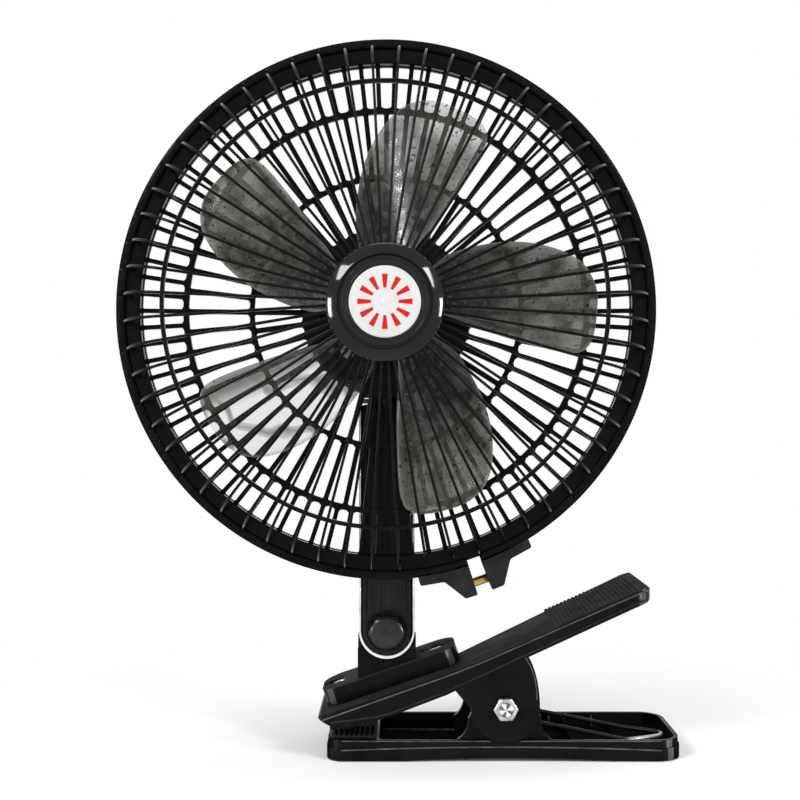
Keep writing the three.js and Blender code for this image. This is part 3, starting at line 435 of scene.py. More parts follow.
# Stacked steel sheets, seen as plain grey metal through the housing's slots.
laminatedSteel = surface("laminatedSteel", ("#74767a", "#a9abae"), 3, (0.25, 0.4), 1.5, (0.25, 0.002), metallic=1.0)
# Turned brass: warm, with small bright patches where it is handled.
yellowBrass = surface("yellowBrass", ("#a8823a", "#cfa95c"), 1.8, (0.2, 0.34), 1.0, (0.2, 0.002), metallic=1.0)
# Undyed acetal for the worm wheel: a waxy off-white.
naturalAcetal = surface("naturalAcetal", ("#d9d6cc", "#e9e7e0"), 5, (0.4, 0.55), 2, (0.3, 0.003))
# The rotor's hub is the same tinted plastic as its blades, but thick enough to look black.
thickPolystyrene = surface("thickSmokyPolystyrene", ("#0e0e0d", "#1a1917"), 8, (0.15, 0.3), 4, (0.6, 0.003))


def highlightedSpringSteel():
    # The wire is dark; a bright metal patch at the near right end is a painted highlight.
    material, add, coords = newMaterial("highlightedSpringSteel")
    x, y, _ = add("SeparateXYZ", [coords]).node.outputs
    right = add("MapRange", [x, 91 * mm, 96 * mm, 0.0, 1.0])
    near = add("MapRange", [y, 14.5 * mm, 16.5 * mm, 1.0, 0.0])
    highlightPatch = add("Math", [right, near], operation="MULTIPLY")
    bright = add("Math", [highlightPatch, patches(add, coords, 3, 0.6)], operation="MULTIPLY")
    return shaded(material, add, {
        "Base Color": layered(add, "#0b0b0c", (bright, "#c4c5c6")), "Metallic": bright,
        "Roughness": patches(add, coords, 1.5, 0.25, 0.4), "Specular IOR Level": 0.15})


def glintPaintedZinc():
    # Turned zinc with a painted glint: a four-lobed bright and dark pattern round the bolt's axis stands in for the X
    # of light that fine lathe rings throw.
    material, add, coords = newMaterial("glintPaintedZinc")
    _, glintFans = aboutY(add, coords, clampPivot, 4.0, "SINE")
    uneven = add("Math", [glintFans, patches(add, coords, 1.4, -0.5, 0.5)], operation="ADD")
    bright = add("MapRange", [uneven, -0.7, 0.7, 0.0, 1.0])
    return shaded(material, add, {
        "Base Color": layered(add, "#5f6163", (bright, "#f4f5f5")), "Metallic": 1.0,
        "Roughness": patches(add, coords, 0.8, 0.25, 0.4)})


def smokyPolystyrene():
    # Tinted see-through plastic: nearly black at the root, clouded and rippled, with small black specks.
    # One blade is almost clear, covered only along its edge and by wavy lines: a painted sheen, with the lines as
    # painted reflection of the front ribs. Another clears towards its tip, a painted tip highlight.
    material, add, coords = newMaterial("smokyPolystyrene")
    span, edge, chord, turn = [
        add("Attribute", output="Fac", attribute_name=name) for name in ("span", "edge", "chord", "turn")]
    # Blade 2 gets the painted sheen, blade 0 the painted tip highlight.
    clear, half = [add("Math", [turn, number, 0.4], operation="COMPARE") for number in (2.0, 0.0)]
    clouds, fine = [add("TexNoise", {"Vector": coords, "Scale": 1 / (size * mm), "Detail": detail}, "Fac")
                    for size, detail in ((9, 4.0), (2.2, 3.0))]
    specks = patches(add, coords, 1.5, 0.0, 1.0, 0.65, 0.69, 1.0)
    wave = add("TexWave", {"Vector": coords, "Scale": 17.0, "Distortion": 11.0, "Detail": 2.0, "Detail Scale": 1.5},
               "Fac", bands_direction="DIAGONAL")
    ripples = add("MapRange", [wave, 0.8, 0.97, 0.0, 1.0])
    faintRipples = add("Math", [ripples, 0.5], operation="MULTIPLY")
    tone = layered(
        add, "#151412", (add("MapRange", [span, 0.15, 0.95, 0.0, 1.0]), "#68655d"),
        (add("MapRange", [clouds, 0.45, 0.66, 0.0, 0.75]), "#242320"), (faintRipples, "#131312"),
        (add("MapRange", [fine, 0.5, 0.7, 0.0, 0.3]), "#7f7b71"),
        (add("Math", [edge, 0.5], operation="MULTIPLY"), "#a9a79f"), (specks, "#050505"))
    # How much each kind of blade covers of what is behind it.
    clouded = add("Math", [add("MapRange", [span, 0.12, 0.9, 0.985, 0.74]),
                           add("MapRange", [clouds, 0.35, 0.65, -0.12, 0.1])], operation="ADD")
    tipHighlightClearing = add("Math", [half, add("MapRange", [span, 0.4, 1.0, 0.0, 0.42])], operation="MULTIPLY")
    smoky = add("Math", [clouded, tipHighlightClearing], operation="SUBTRACT")
    border = add("Math", [edge, 0.45], operation="MULTIPLY")
    lines = add("Math", [faintRipples, border], operation="MAXIMUM")
    sheenBladeCover = add("Math", [add("MapRange", [chord, -0.36, -0.16, 0.62, 0.12]), lines], operation="MAXIMUM")
    cover = add("Mix", {0: clear, 2: smoky, 3: sheenBladeCover})
    spots = add("Math", [specks, add("MapRange", [clear, 0.0, 1.0, 0.9, 0.15])], operation="MULTIPLY")
    height = add("Math", [ripples, 0.4, clouds], operation="MULTIPLY_ADD")
    return shaded(material, add, {
        "Base Color": tone, "Alpha": add("Math", [cover, spots], operation="MAXIMUM", use_clamp=True),
        "Roughness": add("MapRange", [fine, 0.3, 0.7, 0.1, 0.24]), "IOR": 1.59, "Specular IOR Level": 0.25,
        "Normal": add("Bump", {"Strength": 1.0, "Distance": 0.02 * mm, "Height": height})})


def enamelledDisc():
    # A white enamelled disc with twelve plain red dashes in a ring, softly worn.
    material, add, coords = newMaterial("enamelledDisc")
    place, wave = aboutY(add, coords, fanAxis, 12.0, "COSINE")
    radius = add("VectorMath", [place], "Value", operation="LENGTH")
    outside = add("MapRange", [radius, 4.8 * mm, 5.0 * mm, 0.0, 1.0])
    inside = add("MapRange", [radius, 9.8 * mm, 10.0 * mm, 1.0, 0.0])
    ring = add("Math", [outside, inside], operation="MULTIPLY")
    dash = add("Math", [ring, add("MapRange", [wave, 0.2, 0.28, 0.0, 1.0])], operation="MULTIPLY")
    return shaded(material, add, {
        "Base Color": layered(add, "#bbbbba", (patches(add, coords, 5), "#b3b3b1"), (dash, "#af1406")),
        "Roughness": patches(add, coords, 3, 0.3, 0.42), "Specular IOR Level": 0.2})


print("materials done")


# Pieces

def clad(mesh, material):
    mesh.materials.clear()
    mesh.materials.append(material)
    return mesh


def withPaintedHighlight(mesh):
    # Gives a mesh the painted-highlight plastic.
    return clad(mesh, paintedHighlightPolypropylene)


def addPiece(name, meshes, at, body, node, material=None):
    # The finished mesh of a piece, moved to its place on the object.
    for mesh in meshes:
        if not any(mesh.materials):
            clad(mesh, material)
    mesh = tidied(joined(meshes))
    mesh.transform(Matrix.Translation(at * mm))
    mesh.shade_smooth()
    mesh.set_sharp_from_angle(angle=38 * degree)
    mesh.name = name
    thing = shown(mesh, name)
    if body:
        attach(thing, body)
    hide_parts(node)
    return thing


def toned(piece, material, chosen):
    # Gives the plain faces that chosen picks, by centre in millimetres and normal, another material.
    piece.data.materials.append(material)
    for face in piece.data.polygons:
        if face.material_index == 0 and chosen(face.center / mm, face.normal):
            face.material_index = len(piece.data.materials) - 1


def isHighlightCorner(normal):
    # The middle of an upright rounded corner on the front, which gets a painted highlight band.
    return abs(normal.z) < 0.35 and normal.y < -0.3 and 0.42 < abs(normal.x) < 0.72


# Front grille: sixty bars bent over the shoulder, a hub plate, a hoop and a flat rim.
guard = {
    "bars": 60, "width": 1.05, "depth": 2.6, "hub": 19.0, "hubFront": -74.4, "shoulder": 82.8,
    "shoulderFront": -66.4, "end": 101.6, "hoop": 1.5, "slant": 0.2, "rim": (96.0, 102.7),
    "rimDepth": (-37.0, -33.2), "plate": 20.8, "paintedShadeEdge": 99,
}


def isRibCorner(place, normal):
    # The rounded long edges of the ribs, which look half sideways and half outwards.
    radius = math.hypot(place.x, place.z)
    across = abs(normal.z * place.x - normal.x * place.z) / max(radius, 1)
    return guard["plate"] < radius < guard["end"] - 1 and 0.5 < across < 0.87


def frontGrille():
    g = guard
    hub, hubFront, outer, front, end, depth = [
        g[key] for key in ("hub", "hubFront", "shoulder", "shoulderFront", "end", "depth")]
    foot = g["rimDepth"][0] + 1
    path = [(hub + (outer - hub) * i / 8, hubFront + (front - hubFront) * i / 8) for i in range(8)]
    for i in range(19):
        c, s = polar(1, 90 * i / 18)
        path.append((outer + (end - outer) * s, foot - (foot - front) * c))
    path.append((end, foot + 1))
    bars = ringOf(sweepBar(path, [g["width"]] * len(path), depth, 0.5), g["bars"], 6, 3, guardPolypropylene)
    rim = lathe(rounded(corners(*g["rim"], *g["rimDepth"]), 0.7), 240)
    inner, slant = outer - g["hoop"], g["slant"]
    hoop = lathe(rounded([(inner, front - slant), (outer, front), (outer, front + depth),
                          (inner, front + depth - slant)], 0.5), 240)
    hubPlate = rod(g["plate"], hubFront, hubFront + depth, 96)
    piece = addPiece("guard_front", [bars, rim, hoop, hubPlate], fanAxis, "head", "front_grille",
                     guardPolypropylene)
    # Painted highlight lines along the ribs' rounded long edges.
    toned(piece, paintedHighlightPolypropylene, lambda centre, normal: isRibCorner(centre - fanAxis, normal))
    # Painted shade on the rib ends past the rim.
    toned(piece, paintedShadePolypropylene,
          lambda centre, normal: math.hypot(centre.x - fanAxis.x, centre.z - fanAxis.z) > g["paintedShadeEdge"])


frontGrille()
print("front grille done")

# Rear grille: rings joined by short bars, more of them further out, dished back to the motor.
rear = {
    "zones": ((34.0, 52.9, 44, 2.2), (54.9, 78.4, 60, 2.0), (80.6, 96.0, 90, 1.8)),
    "dish": ((0.0, -21.2), (34.0, -21.2), (53.9, -22.6), (79.5, -28.2), (96.0, -31.6), (200.0, -31.6)),
    "thickness": 2.8, "bore": 9.0, "rim": (96.0, 102.7), "rimDepth": (-32.9, -29.0), "overlap": 0.6, "flare": 0.9,
}


def dishAt(radius):
    for (r0, y0), (r1, y1) in zip(rear["dish"], rear["dish"][1:]):
        if radius <= r1:
            return y0 + (y1 - y0) * (radius - r0) / (r1 - r0)


def dishedRing(inner, outer):
    low, high, t = dishAt(inner), dishAt(outer), rear["thickness"]
    return lathe(rounded([(inner, low), (outer, high), (outer, high + t), (inner, low + t)], 0.45), 192)


def flaredBar(inner, outer, width):
    # A bar that widens in a small arc at both ends, where it meets the rings.
    flare, overlap, steps = rear["flare"], rear["overlap"], 5
    rise = [(flare * i / steps, flare - math.sqrt(flare ** 2 - (flare - flare * i / steps) ** 2))
            for i in range(steps + 1)]
    stations = [(inner - overlap, flare), *[(inner + x, extra) for x, extra in rise],
                *[(outer - x, extra) for x, extra in rise[::-1]], (outer + overlap, flare)]
    return sweepBar([(r, dishAt(r)) for r, _ in stations], [width + 2 * extra for _, extra in stations],
                    rear["thickness"], 0.4, 2)


def rearGrille():
    zones, (rimInner, rimOuter), (front, back) = rear["zones"], rear["rim"], rear["rimDepth"]
    spans = [(rear["bore"], zones[0][0]), *[(near[1], far[0]) for near, far in zip(zones, zones[1:])]]
    parts = [dishedRing(*span) for span in spans]
    parts.append(lathe(rounded([(rimInner, dishAt(rimInner)), (rimOuter, front), (rimOuter, back),
                                (rimInner, back)], 0.6), 240))
    parts += [ringOf(flaredBar(inner, outer, width), count, 360 / count, 0, guardPolypropylene)
              for inner, outer, count, width in zones]
    addPiece("guard_rear", parts, fanAxis, "head", "rear_grille", guardPolypropylene)


rearGrille()
print("rear grille done")

# Rim band: a split C section with two eared blocks drawn together by a screw.
band = {
    "radius": 105.0, "wall": 1.7, "lip": 3.3, "front": -38.4, "back": -27.4, "thick": 1.1,
    "split": -70.7, "half": 1.45, "screwRadius": 112.2, "sunk": 1.2,
    "lug": ((116.6, 1.45, 0.8), (116.6, 3.9, 1.4), (108.4, 7.2, 1.6), (108.4, 12.2, 1.0)), "root": (7, 12.6),
    "tabs": (102.2, 104.2), "tabRise": 0.4, "tabGap": 0.55, "bore": 3.0, "screwHole": 1.9, "reach": 17,
    "shank": 1.75, "head": (4.5, 7.2), "headRadius": 2.8, "slot": 0.4, "nutRadius": 2.85,
}


def acrossSplit(mesh):
    # Turns a shape drawn along Y so that it lies across the split at the screw's height.
    x, z = polar(band["screwRadius"], band["split"])
    turn = Matrix.Rotation((-band["split"] - 90) * degree, 4, "Y") @ Matrix.Rotation(-math.pi / 2, 4, "Z")
    mesh.transform(Matrix.Translation(Vector((x, (band["front"] + band["back"]) / 2, z)) * mm) @ turn)
    return mesh


def bandLug(side):
    b = band
    low, (near, far) = b["radius"] - b["sunk"], b["root"]
    marks = [(low, b["half"], 0), *b["lug"], (low, far, 0), (low, near, 0)]
    outline = [(*polar(r, b["split"] + side * angle), corner) for r, angle, corner in marks]
    return slab(rounded(outline), b["front"], b["back"])


def rimBand():
    b = band
    lip, inner, outer, thick = b["radius"] - b["lip"], b["radius"] - b["wall"], b["radius"], b["thick"]
    front, back = b["front"], b["back"]
    section = [(lip, front, 0.4), (outer, front, 0.4), (outer, back, 0.9), (lip, back, 0.4),
               (lip, back - thick, 0.2), (inner, back - thick), (inner, front + thick), (lip, front + thick, 0.2)]
    hoop = lathe(rounded(section), 240, b["split"] + b["half"], 360 - 2 * b["half"])
    near, reach = b["head"][0] - 0.1, b["reach"]
    bores = [acrossSplit(rod(radius, *span)) for radius, span in (
        (b["bore"], (-reach, -near)), (b["bore"], (near, reach)), (b["screwHole"], (-12, 12)))]
    lugs = [clad(softened(cut(bandLug(side), *[bore.copy() for bore in bores]), 0.45), dulledAndPaintedLightPolypropylene)
            for side in (-1, 1)]
    low, high = b["tabs"]
    spread = 3 - math.degrees(b["tabGap"] / 103)
    tab = rounded(arc((0, 0), high, -spread, spread, 6) + arc((0, 0), low, spread, -spread, 6), 0.25, 2)
    tab = softened(slab(tab, front - b["tabRise"], front + 0.3), 0.12, 2)
    addPiece("guard_band", [hoop, *lugs, ringOf(tab, 58, 6, -60, guardPolypropylene)], fanAxis, "head",
             "rim_band", guardPolypropylene)


def bandFixings():
    # The screw's head and its nut sit deep in the lugs, so only the shank shows between them.
    near, far = band["head"]
    shank, slot = band["shank"], band["slot"]
    screw = united(acrossSplit(rod(shank, -far + 0.3, far)), acrossSplit(rod(band["headRadius"], -far, -near)))
    screw = cut(screw, acrossSplit(block([-3, 3], [-far - 1, -far + 0.9], [-slot, slot])))
    addPiece("band_shank", [softened(screw, 0.15, 2)], fanAxis, "head", "band_screw", yellowBrass)
    nut = slab([polar(band["nutRadius"], 60 * i) for i in range(6)], near, far - 0.3)
    nut = acrossSplit(cut(nut, rod(shank + 0.05, near - 1, far + 1)))
    addPiece("band_hexagon", [softened(nut, 0.15, 2)], fanAxis, "head", "band_nut", zincPlate)


rimBand()
bandFixings()
print("rim band done")

# Hub cap with its sloping bezel, the stepped ring in it and the disc, as radii and depths from the front.
cap = {
    "back": -74.8, "front": -78.4, "seat": 1.6, "side": ((21.4, 3.6), (21.4, 2.7), (21.25, 2.2)),
    "bezel": ((20.9, 1.95), (19.3, 0.95), (17.5, 0.08)), "lip": ((17.1, 0), (16.95, 0.2), (16.9, 1.9), (0, 1.9)),
    "ring": ((16.65, 1.0, 0.15), (15.9, 0.95, 0.1), (15.75, 0.45, 0.12), (15.3, 0.45, 0.12), (15.15, 0.75, 0.1),
             (13.9, 0.75, 0.1), (13.75, 0.3, 0.12), (13.3, 0.3, 0.12)),
    "disc": ((12.95, 0.55, 0.2), (12.5, 0.35, 0.3), (6, 0.2, 0)), "middle": 0.18,
}


def hubCap():
    front, seat = cap["front"], cap["front"] + cap["seat"]
    side, bezel, lip, ring, disc = [[(r, front + y, *corner) for r, y, *corner in cap[key]]
                                    for key in ("side", "bezel", "lip", "ring", "disc")]
    shell = lathe([(0, cap["back"]), *side, *between(*bezel, 8), *lip], 144)
    addPiece("cap_bezel", [shell], fanAxis, "head", "hub_cap", polishedAbs)
    ring = lathe(rounded([(13.3, seat), (16.65, seat), *ring]), 144)
    addPiece("cap_step", [ring], fanAxis, "head", "cap_ring", ringAbs)
    disc = lathe([(0, seat), (12.95, seat), *rounded([(12.95, seat), *disc])[1:], (0, front + cap["middle"])], 144)
    addPiece("cap_disc", [disc], fanAxis, "head", "badge", enamelledDisc())


hubCap()
print("hub cap done")

# Rotor: a hub cup and five pitched blades that thin out to a round edge.
# Each station is a radius, the angles of the trailing and leading edges, and the pitch there.
rotor = {
    "hub": 17.5, "front": -62.0, "back": -39.0, "core": 5.5, "bore": 1.9, "blades": 5, "middle": -48.0,
    "thickness": 1.5, "camber": 0.07, "firstTip": 71.0, "round": 1.2, "border": 2.6,
    "stations": ((16.5, 47.0, -2.0, 40.0), (28.0, 41.5, -7.5, 37.0), (42.0, 33.5, -11.5, 32.0),
                 (60.0, 24.0, -12.8, 25.5), (74.0, 15.0, -12.4, 21.5), (79.2, 8.2, -9.6, 20.5),
                 (80.5, 2.6, -4.4, 20.0)),
}


def blade(rows=40, across=22):
    stations = rotor["stations"]
    rings, looks = [], []
    for i in range(rows + 1):
        r, trailing, leading, pitch = eased(stations, (len(stations) - 1) * i / rows)
        chord = (trailing - leading) * degree * r
        half = rotor["thickness"] / 2 * (1 if i < rows - 3 else (rows - i) / 4 * 0.8 + 0.2)
        ring = []
        for j in range(across + 1):
            t = -0.5 * math.cos(math.pi * j / across)
            angle = (trailing + leading) / 2 * degree + chord * t / r
            y = rotor["middle"] - t * chord * math.tan(pitch * degree) + rotor["camber"] * chord * (1 - 4 * t * t)
            toEdge = (0.5 - abs(t)) * chord
            fullness = math.sqrt(max(0.0, 1 - (1 - min(1.0, toEdge / rotor["round"])) ** 2))
            edge = max(0.0, 1 - toEdge / rotor["border"], (i - rows + 4) / 4)
            ring.append((r * math.cos(angle), y, r * math.sin(angle), half * (0.25 + 0.75 * fullness), edge, t))
        both = [(1, point) for point in ring] + [(-1, point) for point in ring[::-1]]
        rings.append([(x, y + side * thick, z) for side, (x, y, z, thick, _, _) in both])
        looks += [((r - 16.5) / 64, edge, t) for _, (_, _, _, _, edge, t) in both]
    mesh = lofted(rings)
    for label, values in zip(("span", "edge", "chord"), zip(*looks)):
        mesh.attributes.new(label, "FLOAT", "POINT").data.foreach_set("value", values)
    return mesh


def fanRotor():
    hub, front, back, core, bore = [rotor[key] for key in ("hub", "front", "back", "core", "bore")]
    cup = rounded([(hub - 4, front, 1.5), (hub - 1, front + 1, 1.5), (hub, front + 3.4, 1), (hub, back, 0.4),
                   (hub - 2, back, 0.4), (hub - 2, front + 6, 1), (core, front + 6, 0.6), (core, back + 4, 0.4)])
    hubCup = clad(lathe([(bore, front), *cup, (bore, back + 4)], 96), thickPolystyrene)
    blades = ringOf(blade(), rotor["blades"], 72, rotor["firstTip"], smokyPolystyrene())
    addPiece("rotor_blades", [blades, hubCup], fanAxis, "rotor", "fan_rotor")


fanRotor()
print("rotor done")

# Arm: two cheeks round the neck's tongue, a brushed cover and a bright strip.
arm = {
    "half": 11.4, "top": 93.0, "front": -8.8, "back": 10.0, "slot": 3.95, "throat": 12.9, "bolt": 3.3,
    "nutFlats": 8.6, "nutSeat": 7.2, "hollow": (8.6, 7.8, 15.5, 74), "socket": (6.9, 14),
    "coverHalf": 9.9, "coverFront": -10.8, "coverTop": 0.6, "gap": 0.3, "grooves": (-8.2, 7.7), "groove": 0.5,
    "grooveFoot": 7.5, "dish": (8.3, 0.7), "trim": 1.35, "trimFront": -11.3, "trimGap": 0.15, "thinner": 0.55,
}


def armParts():
    a = arm
    half, top, front, back, slot, bolt = [a[key] for key in ("half", "top", "front", "back", "slot", "bolt")]
    inside, reach, low, high = a["hollow"]
    socket, socketDepth = a["socket"]
    body = cut(slab(tongueOutline(half, top, 3), front, back), rod(a["throat"], -slot, slot, 96),
               block([-14, 14], [-slot, slot], [-14, 0]), rod(bolt, front - 1, back + 1),
               slab(hexagon(a["nutFlats"]), a["nutSeat"], back + 1),
               block([-inside, inside], [front - 1, reach], [low, high]),
               plate(circle(socket, count=60), top - socketDepth, top + 1))
    addPiece("arm_body", [softened(body, 0.5)], tiltPivot, "arm", "arm", blackPolypropylene)
    face, seam, groove = a["coverFront"], front - a["gap"], a["groove"]
    dish, dishDepth = a["dish"]
    panel = cut(slab(tongueOutline(a["coverHalf"], top - a["coverTop"], 2), face, seam),
                *[block([x, x + groove], [face - 1, face + groove], [a["grooveFoot"], 120]) for x in a["grooves"]],
                rod(dish, -12, face + dishDepth, 64), rod(bolt, -14, front))
    addPiece("arm_panel", [softened(panel, 0.25)], tiltPivot, "arm", "arm_cover", brushedCover)
    inner, thinner, stripFront = a["coverHalf"] + a["trimGap"], a["thinner"], a["trimFront"]
    strip = cut(slab(tongueOutline(inner + a["trim"], top, 3), stripFront, seam),
                moved(slab(tongueOutline(inner + thinner, top + 5, 1), stripFront - 1, front), z=thinner))
    addPiece("arm_strip", [softened(strip, 0.3)], tiltPivot, "arm", "arm_trim", platedTrim)


armParts()

# Six-sided knob with a slightly domed face; the dome's points are radii and depths from the front.
knob = {"flats": 13.2, "front": -17.2, "back": -11.2, "bore": 3.2, "dome": ((3, 0.1), (6.8, 0.5), (7.9, 2.6))}


def tiltKnob():
    front, back = knob["front"], knob["back"]
    domed = between(*[(r, front + y) for r, y in knob["dome"]], 8)
    dome = lathe([(0, front), *domed, (domed[-1][0], back), (0, back)], 96)
    grip = common(slab(rounded(hexagon(knob["flats"]), 1.0), front, back), dome)
    grip = softened(cut(grip, rod(knob["bore"], back - 3, back + 1)), 0.35, angle=24)
    addPiece("tilt_grip", [grip], tiltPivot, "tilt_knob", "tilt_knob", knobAbs)


tiltKnob()
print("arm done")

# Neck base: a foot plate on the sloping jaw with a post and a tongue for the arm.
neck = {
    "length": 59.0, "shorter": 1.2, "half": 14.0, "corner": 8.5, "height": 6.8, "post": 12.0, "foot": -24,
    "tongue": 3.6, "tongueRadius": 11.0, "bolt": 3.3, "seat": (2.3, -22.0), "slope": 18.8, "screws": (-21.2, 21.2),
    "troughs": (6.5, 3.8), "troughEnd": 3.6, "troughHalf": 3.3, "troughFloor": 4.4, "peg": (15.2, 1.3),
    "toneTop": 47, "screwHead": 2.7, "screwShank": 1.5, "screwHole": 1.7, "cross": (1.7, 0.3),
}


def onSlope(mesh):
    return moved(mesh, neck["seat"][0], 0, neck["seat"][1], neck["slope"])


def neckBase():
    n = neck
    half, w, foot, tongue = n["length"] / 2, n["post"], n["foot"], n["tongue"]
    sole = plate(roundedBox([n["shorter"] - half, half], [-n["half"], n["half"]], n["corner"], n["corner"], 20),
                 0.3, n["height"])
    post = block([-w, w], [arm["front"] - 1, arm["back"]], [foot, -7.4])
    upright = slab([(-w, foot), (w, foot), (w, -3), (10.6, -3), *arc((0, 0), n["tongueRadius"], -15, 195, 40),
                    (-10.6, -3), (-w, -3)], -tongue, tongue)
    pegX, pegRadius = n["peg"]
    recesses = [onSlope(plate(circle(pegRadius, pegX), 3.0, 9))]
    for x, reach in zip(n["screws"], n["troughs"]):
        trough = roundedBox([x - reach, x + n["troughEnd"]], [-n["troughHalf"], n["troughHalf"]], 3.2, 3.2)
        recesses += [onSlope(plate(trough, n["troughFloor"], 9)), onSlope(plate(circle(n["screwHole"], x), -1, 6))]
    seat = arm["half"] + 0.4
    body = cut(united(onSlope(sole), post, upright), rod(seat, arm["front"] - 3, -tongue, 96),
               rod(seat, tongue, arm["back"] + 1, 96), rod(n["bolt"], -tongue - 1, tongue + 1),
               onSlope(block([-60, 60], [-30, 30], [-40, 0.3])), *recesses)
    piece = addPiece("neck_foot", [softened(body, 0.7)], tiltPivot, "upper_jaw", "neck_base",
                     blackPolypropylene)
    # Upward faces below the post get painted light: a lighter, less shiny top.
    toned(piece, dulledAndPaintedLightPolypropylene, lambda centre, normal: normal.z > 0.8 and centre.z < n["toneTop"])
    # Rounded front corners and front-facing slopes get painted highlight bands.
    toned(piece, paintedHighlightPolypropylene, lambda centre, normal: centre.z < n["toneTop"] - 1 and (
        isHighlightCorner(normal) or 0.35 < normal.z < 0.75 and normal.y < -0.4))


def neckScrew(number, x):
    screw = united(plate(circle(neck["screwHead"], x), 4.45, 6.3), plate(circle(neck["screwShank"], x), 0.4, 5))
    long, thin = neck["cross"]
    cross = [block([x - a, x + a], [-b, b], [5.5, 7]) for a, b in ((long, thin), (thin, long))]
    addPiece(f"neck_screw_{number}_head", [softened(onSlope(cut(screw, *cross)), 0.25, 2)], tiltPivot, "upper_jaw",
             f"neck_screw_{number}", zincPlate)


neckBase()
for screwNumber, screwX in enumerate(neck["screws"], 1):
    neckScrew(screwNumber, screwX)

# Upper jaw: a hollow wedge with ridges across the handle and two round ears.
upper = {
    "top": ((-75.8, -5.4), (-74.6, -3.6), (-22, 14.3), (-16, 16.4), (-10, 18.8), (21, 32.2), (52.8, 46.3),
            (57.6, 48.4)),
    "under": ((59.3, 47), (59.3, 43), (57.3, 41.8), (51.8, 40), (10.7, 21.1), (-23.8, 5.2), (-46.9, -3.6),
              (-52.2, -4.9), (-70.6, -7.2)),
    "hollow": ((-48, -12), (-48, 3), (-16, 12.4), (-10, 13.3), (52.8, 41.6), (56, 43), (56, 30), (0, -12)),
    "half": 24.0, "wall": 2.3, "ends": (-75.8, 59.3), "ear": 13.8, "earOuter": (20.9, 24.3), "hole": 2.8,
    "earRoot": ((-20.5, 7.6), (-15.5, 1.5)), "earNeck": ((13.8, 0), (13.6, 13), (9.4, 20.4)),
    "ridges": 21, "pitch": 1.8, "ridgeLine": ((20.2, 31.85), (57.0, 48.15)),
    "wave": ((0, -0.1), (0.93, 1.25), (1.86, -0.1)),
    "topBead": ((-73.5, -5.0), (-22, 13.3), (-10, 18.0), (21, 31.4), (52.8, 45.5), (57, 47.2)),
    "lowBead": ((-70, -5.8), (-52.2, -3.6), (-46.9, -2.3), (-23.8, 6.6), (10.7, 22.6), (51.8, 41.5), (56, 43.2)),
    "earEdge": ((8.0, 20.4), (10.2, 16.4), (11.8, 11.8), (12.4, 7.5), (12.5, 3.5)),
    "farEdge": ((-20, 5), (57, 24)), "farTop": 15.1, "farReach": 24.6, "farFall": (3.2, 12), "highlightFrom": 50,
}


def bead(line, side, height=0.85):
    # A narrow moulding along a line on the front side face.
    half = height / 2
    return slab([(x, z - half) for x, z in line] + [(x, z + half) for x, z in line[::-1]], side - 0.35, side + 0.5)


def farBevel():
    # What is taken off the far long edge, which slopes away from the ridges to the neck.
    (x0, z0), (x1, z1) = upper["top"][4], upper["top"][6]
    (fall, run), reach, over = upper["farFall"], upper["farReach"], 4
    rings = []
    for x, y in upper["farEdge"]:
        top = z0 + (x - x0) * (z1 - z0) / (x1 - x0) if x > 0 else upper["farTop"]
        rings.append([(x, y, top), (x, reach, top - fall * (reach - y) / run), (x, reach, top + over),
                      (x, y, top + over)])
    return tidied(lofted(rings))


def handleRidges():
    (x, z), (endX, endZ) = upper["ridgeLine"]
    w = upper["half"]
    wave = [(0, -0.7), *between(*upper["wave"], 8), (upper["wave"][-1][0], -0.7)]
    row = rowOf(slab(wave, 0.9 - w, w - 5), upper["ridges"], upper["pitch"], dulledAndPaintedLightPolypropylene)
    return moved(row, x, 0, z, math.degrees(math.atan2(endZ - z, endX - x)))


def upperJaw():
    u = upper
    w, inside, (earNear, earFar) = u["half"], u["half"] - u["wall"], u["earOuter"]
    body = common(slab(rounded(u["top"] + u["under"], 1.2, 5), -w, w),
                  plate(roundedBox(u["ends"], [-w, w], 9, 9, 16), -20, 60))
    body = cut(body, slab(u["hollow"], -inside, inside))
    earOutline = [*u["earRoot"], *arc((0, 0), u["ear"], 180, 360, 56), *between(*u["earNeck"], 12)[1:], (-4, 17.5)]
    ears = [slab(earOutline, -earFar, -earNear), slab(earOutline, earNear, earFar)]
    body = cut(united(body, *ears), rod(u["hole"], -w - 1, w + 1), farBevel())
    # A thin lighter strip along the ear's edge: a painted highlight line.
    earLine = slab([(x - 0.25, z) for x, z in u["earEdge"]] + [(x + 0.25, z) for x, z in u["earEdge"][::-1]],
                   -earFar - 0.2, -earNear)
    # The top bead is lighter as a painted highlight line; the low bead takes the duller, lighter plastic as a milder
    # one.
    beads = [withPaintedHighlight(softened(bead(u["topBead"], -w, 0.7), 0.3)),
             clad(softened(bead(u["lowBead"], -w), 0.3), dulledAndPaintedLightPolypropylene), withPaintedHighlight(earLine)]
    piece = addPiece("jaw_upper", [softened(body, 0.6), handleRidges(), *beads], clampPivot, "upper_jaw",
                     "upper_jaw", blackPolypropylene)
    # Upward faces get painted light: a lighter, less shiny top.
    toned(piece, dulledAndPaintedLightPolypropylene, lambda centre, normal: normal.z > 0.8)
    # The handle end's rounded corners get painted highlight bands.
    toned(piece, paintedHighlightPolypropylene, lambda centre, normal: centre.z > u["highlightFrom"] and isHighlightCorner(normal))


upperJaw()
print("upper jaw done")

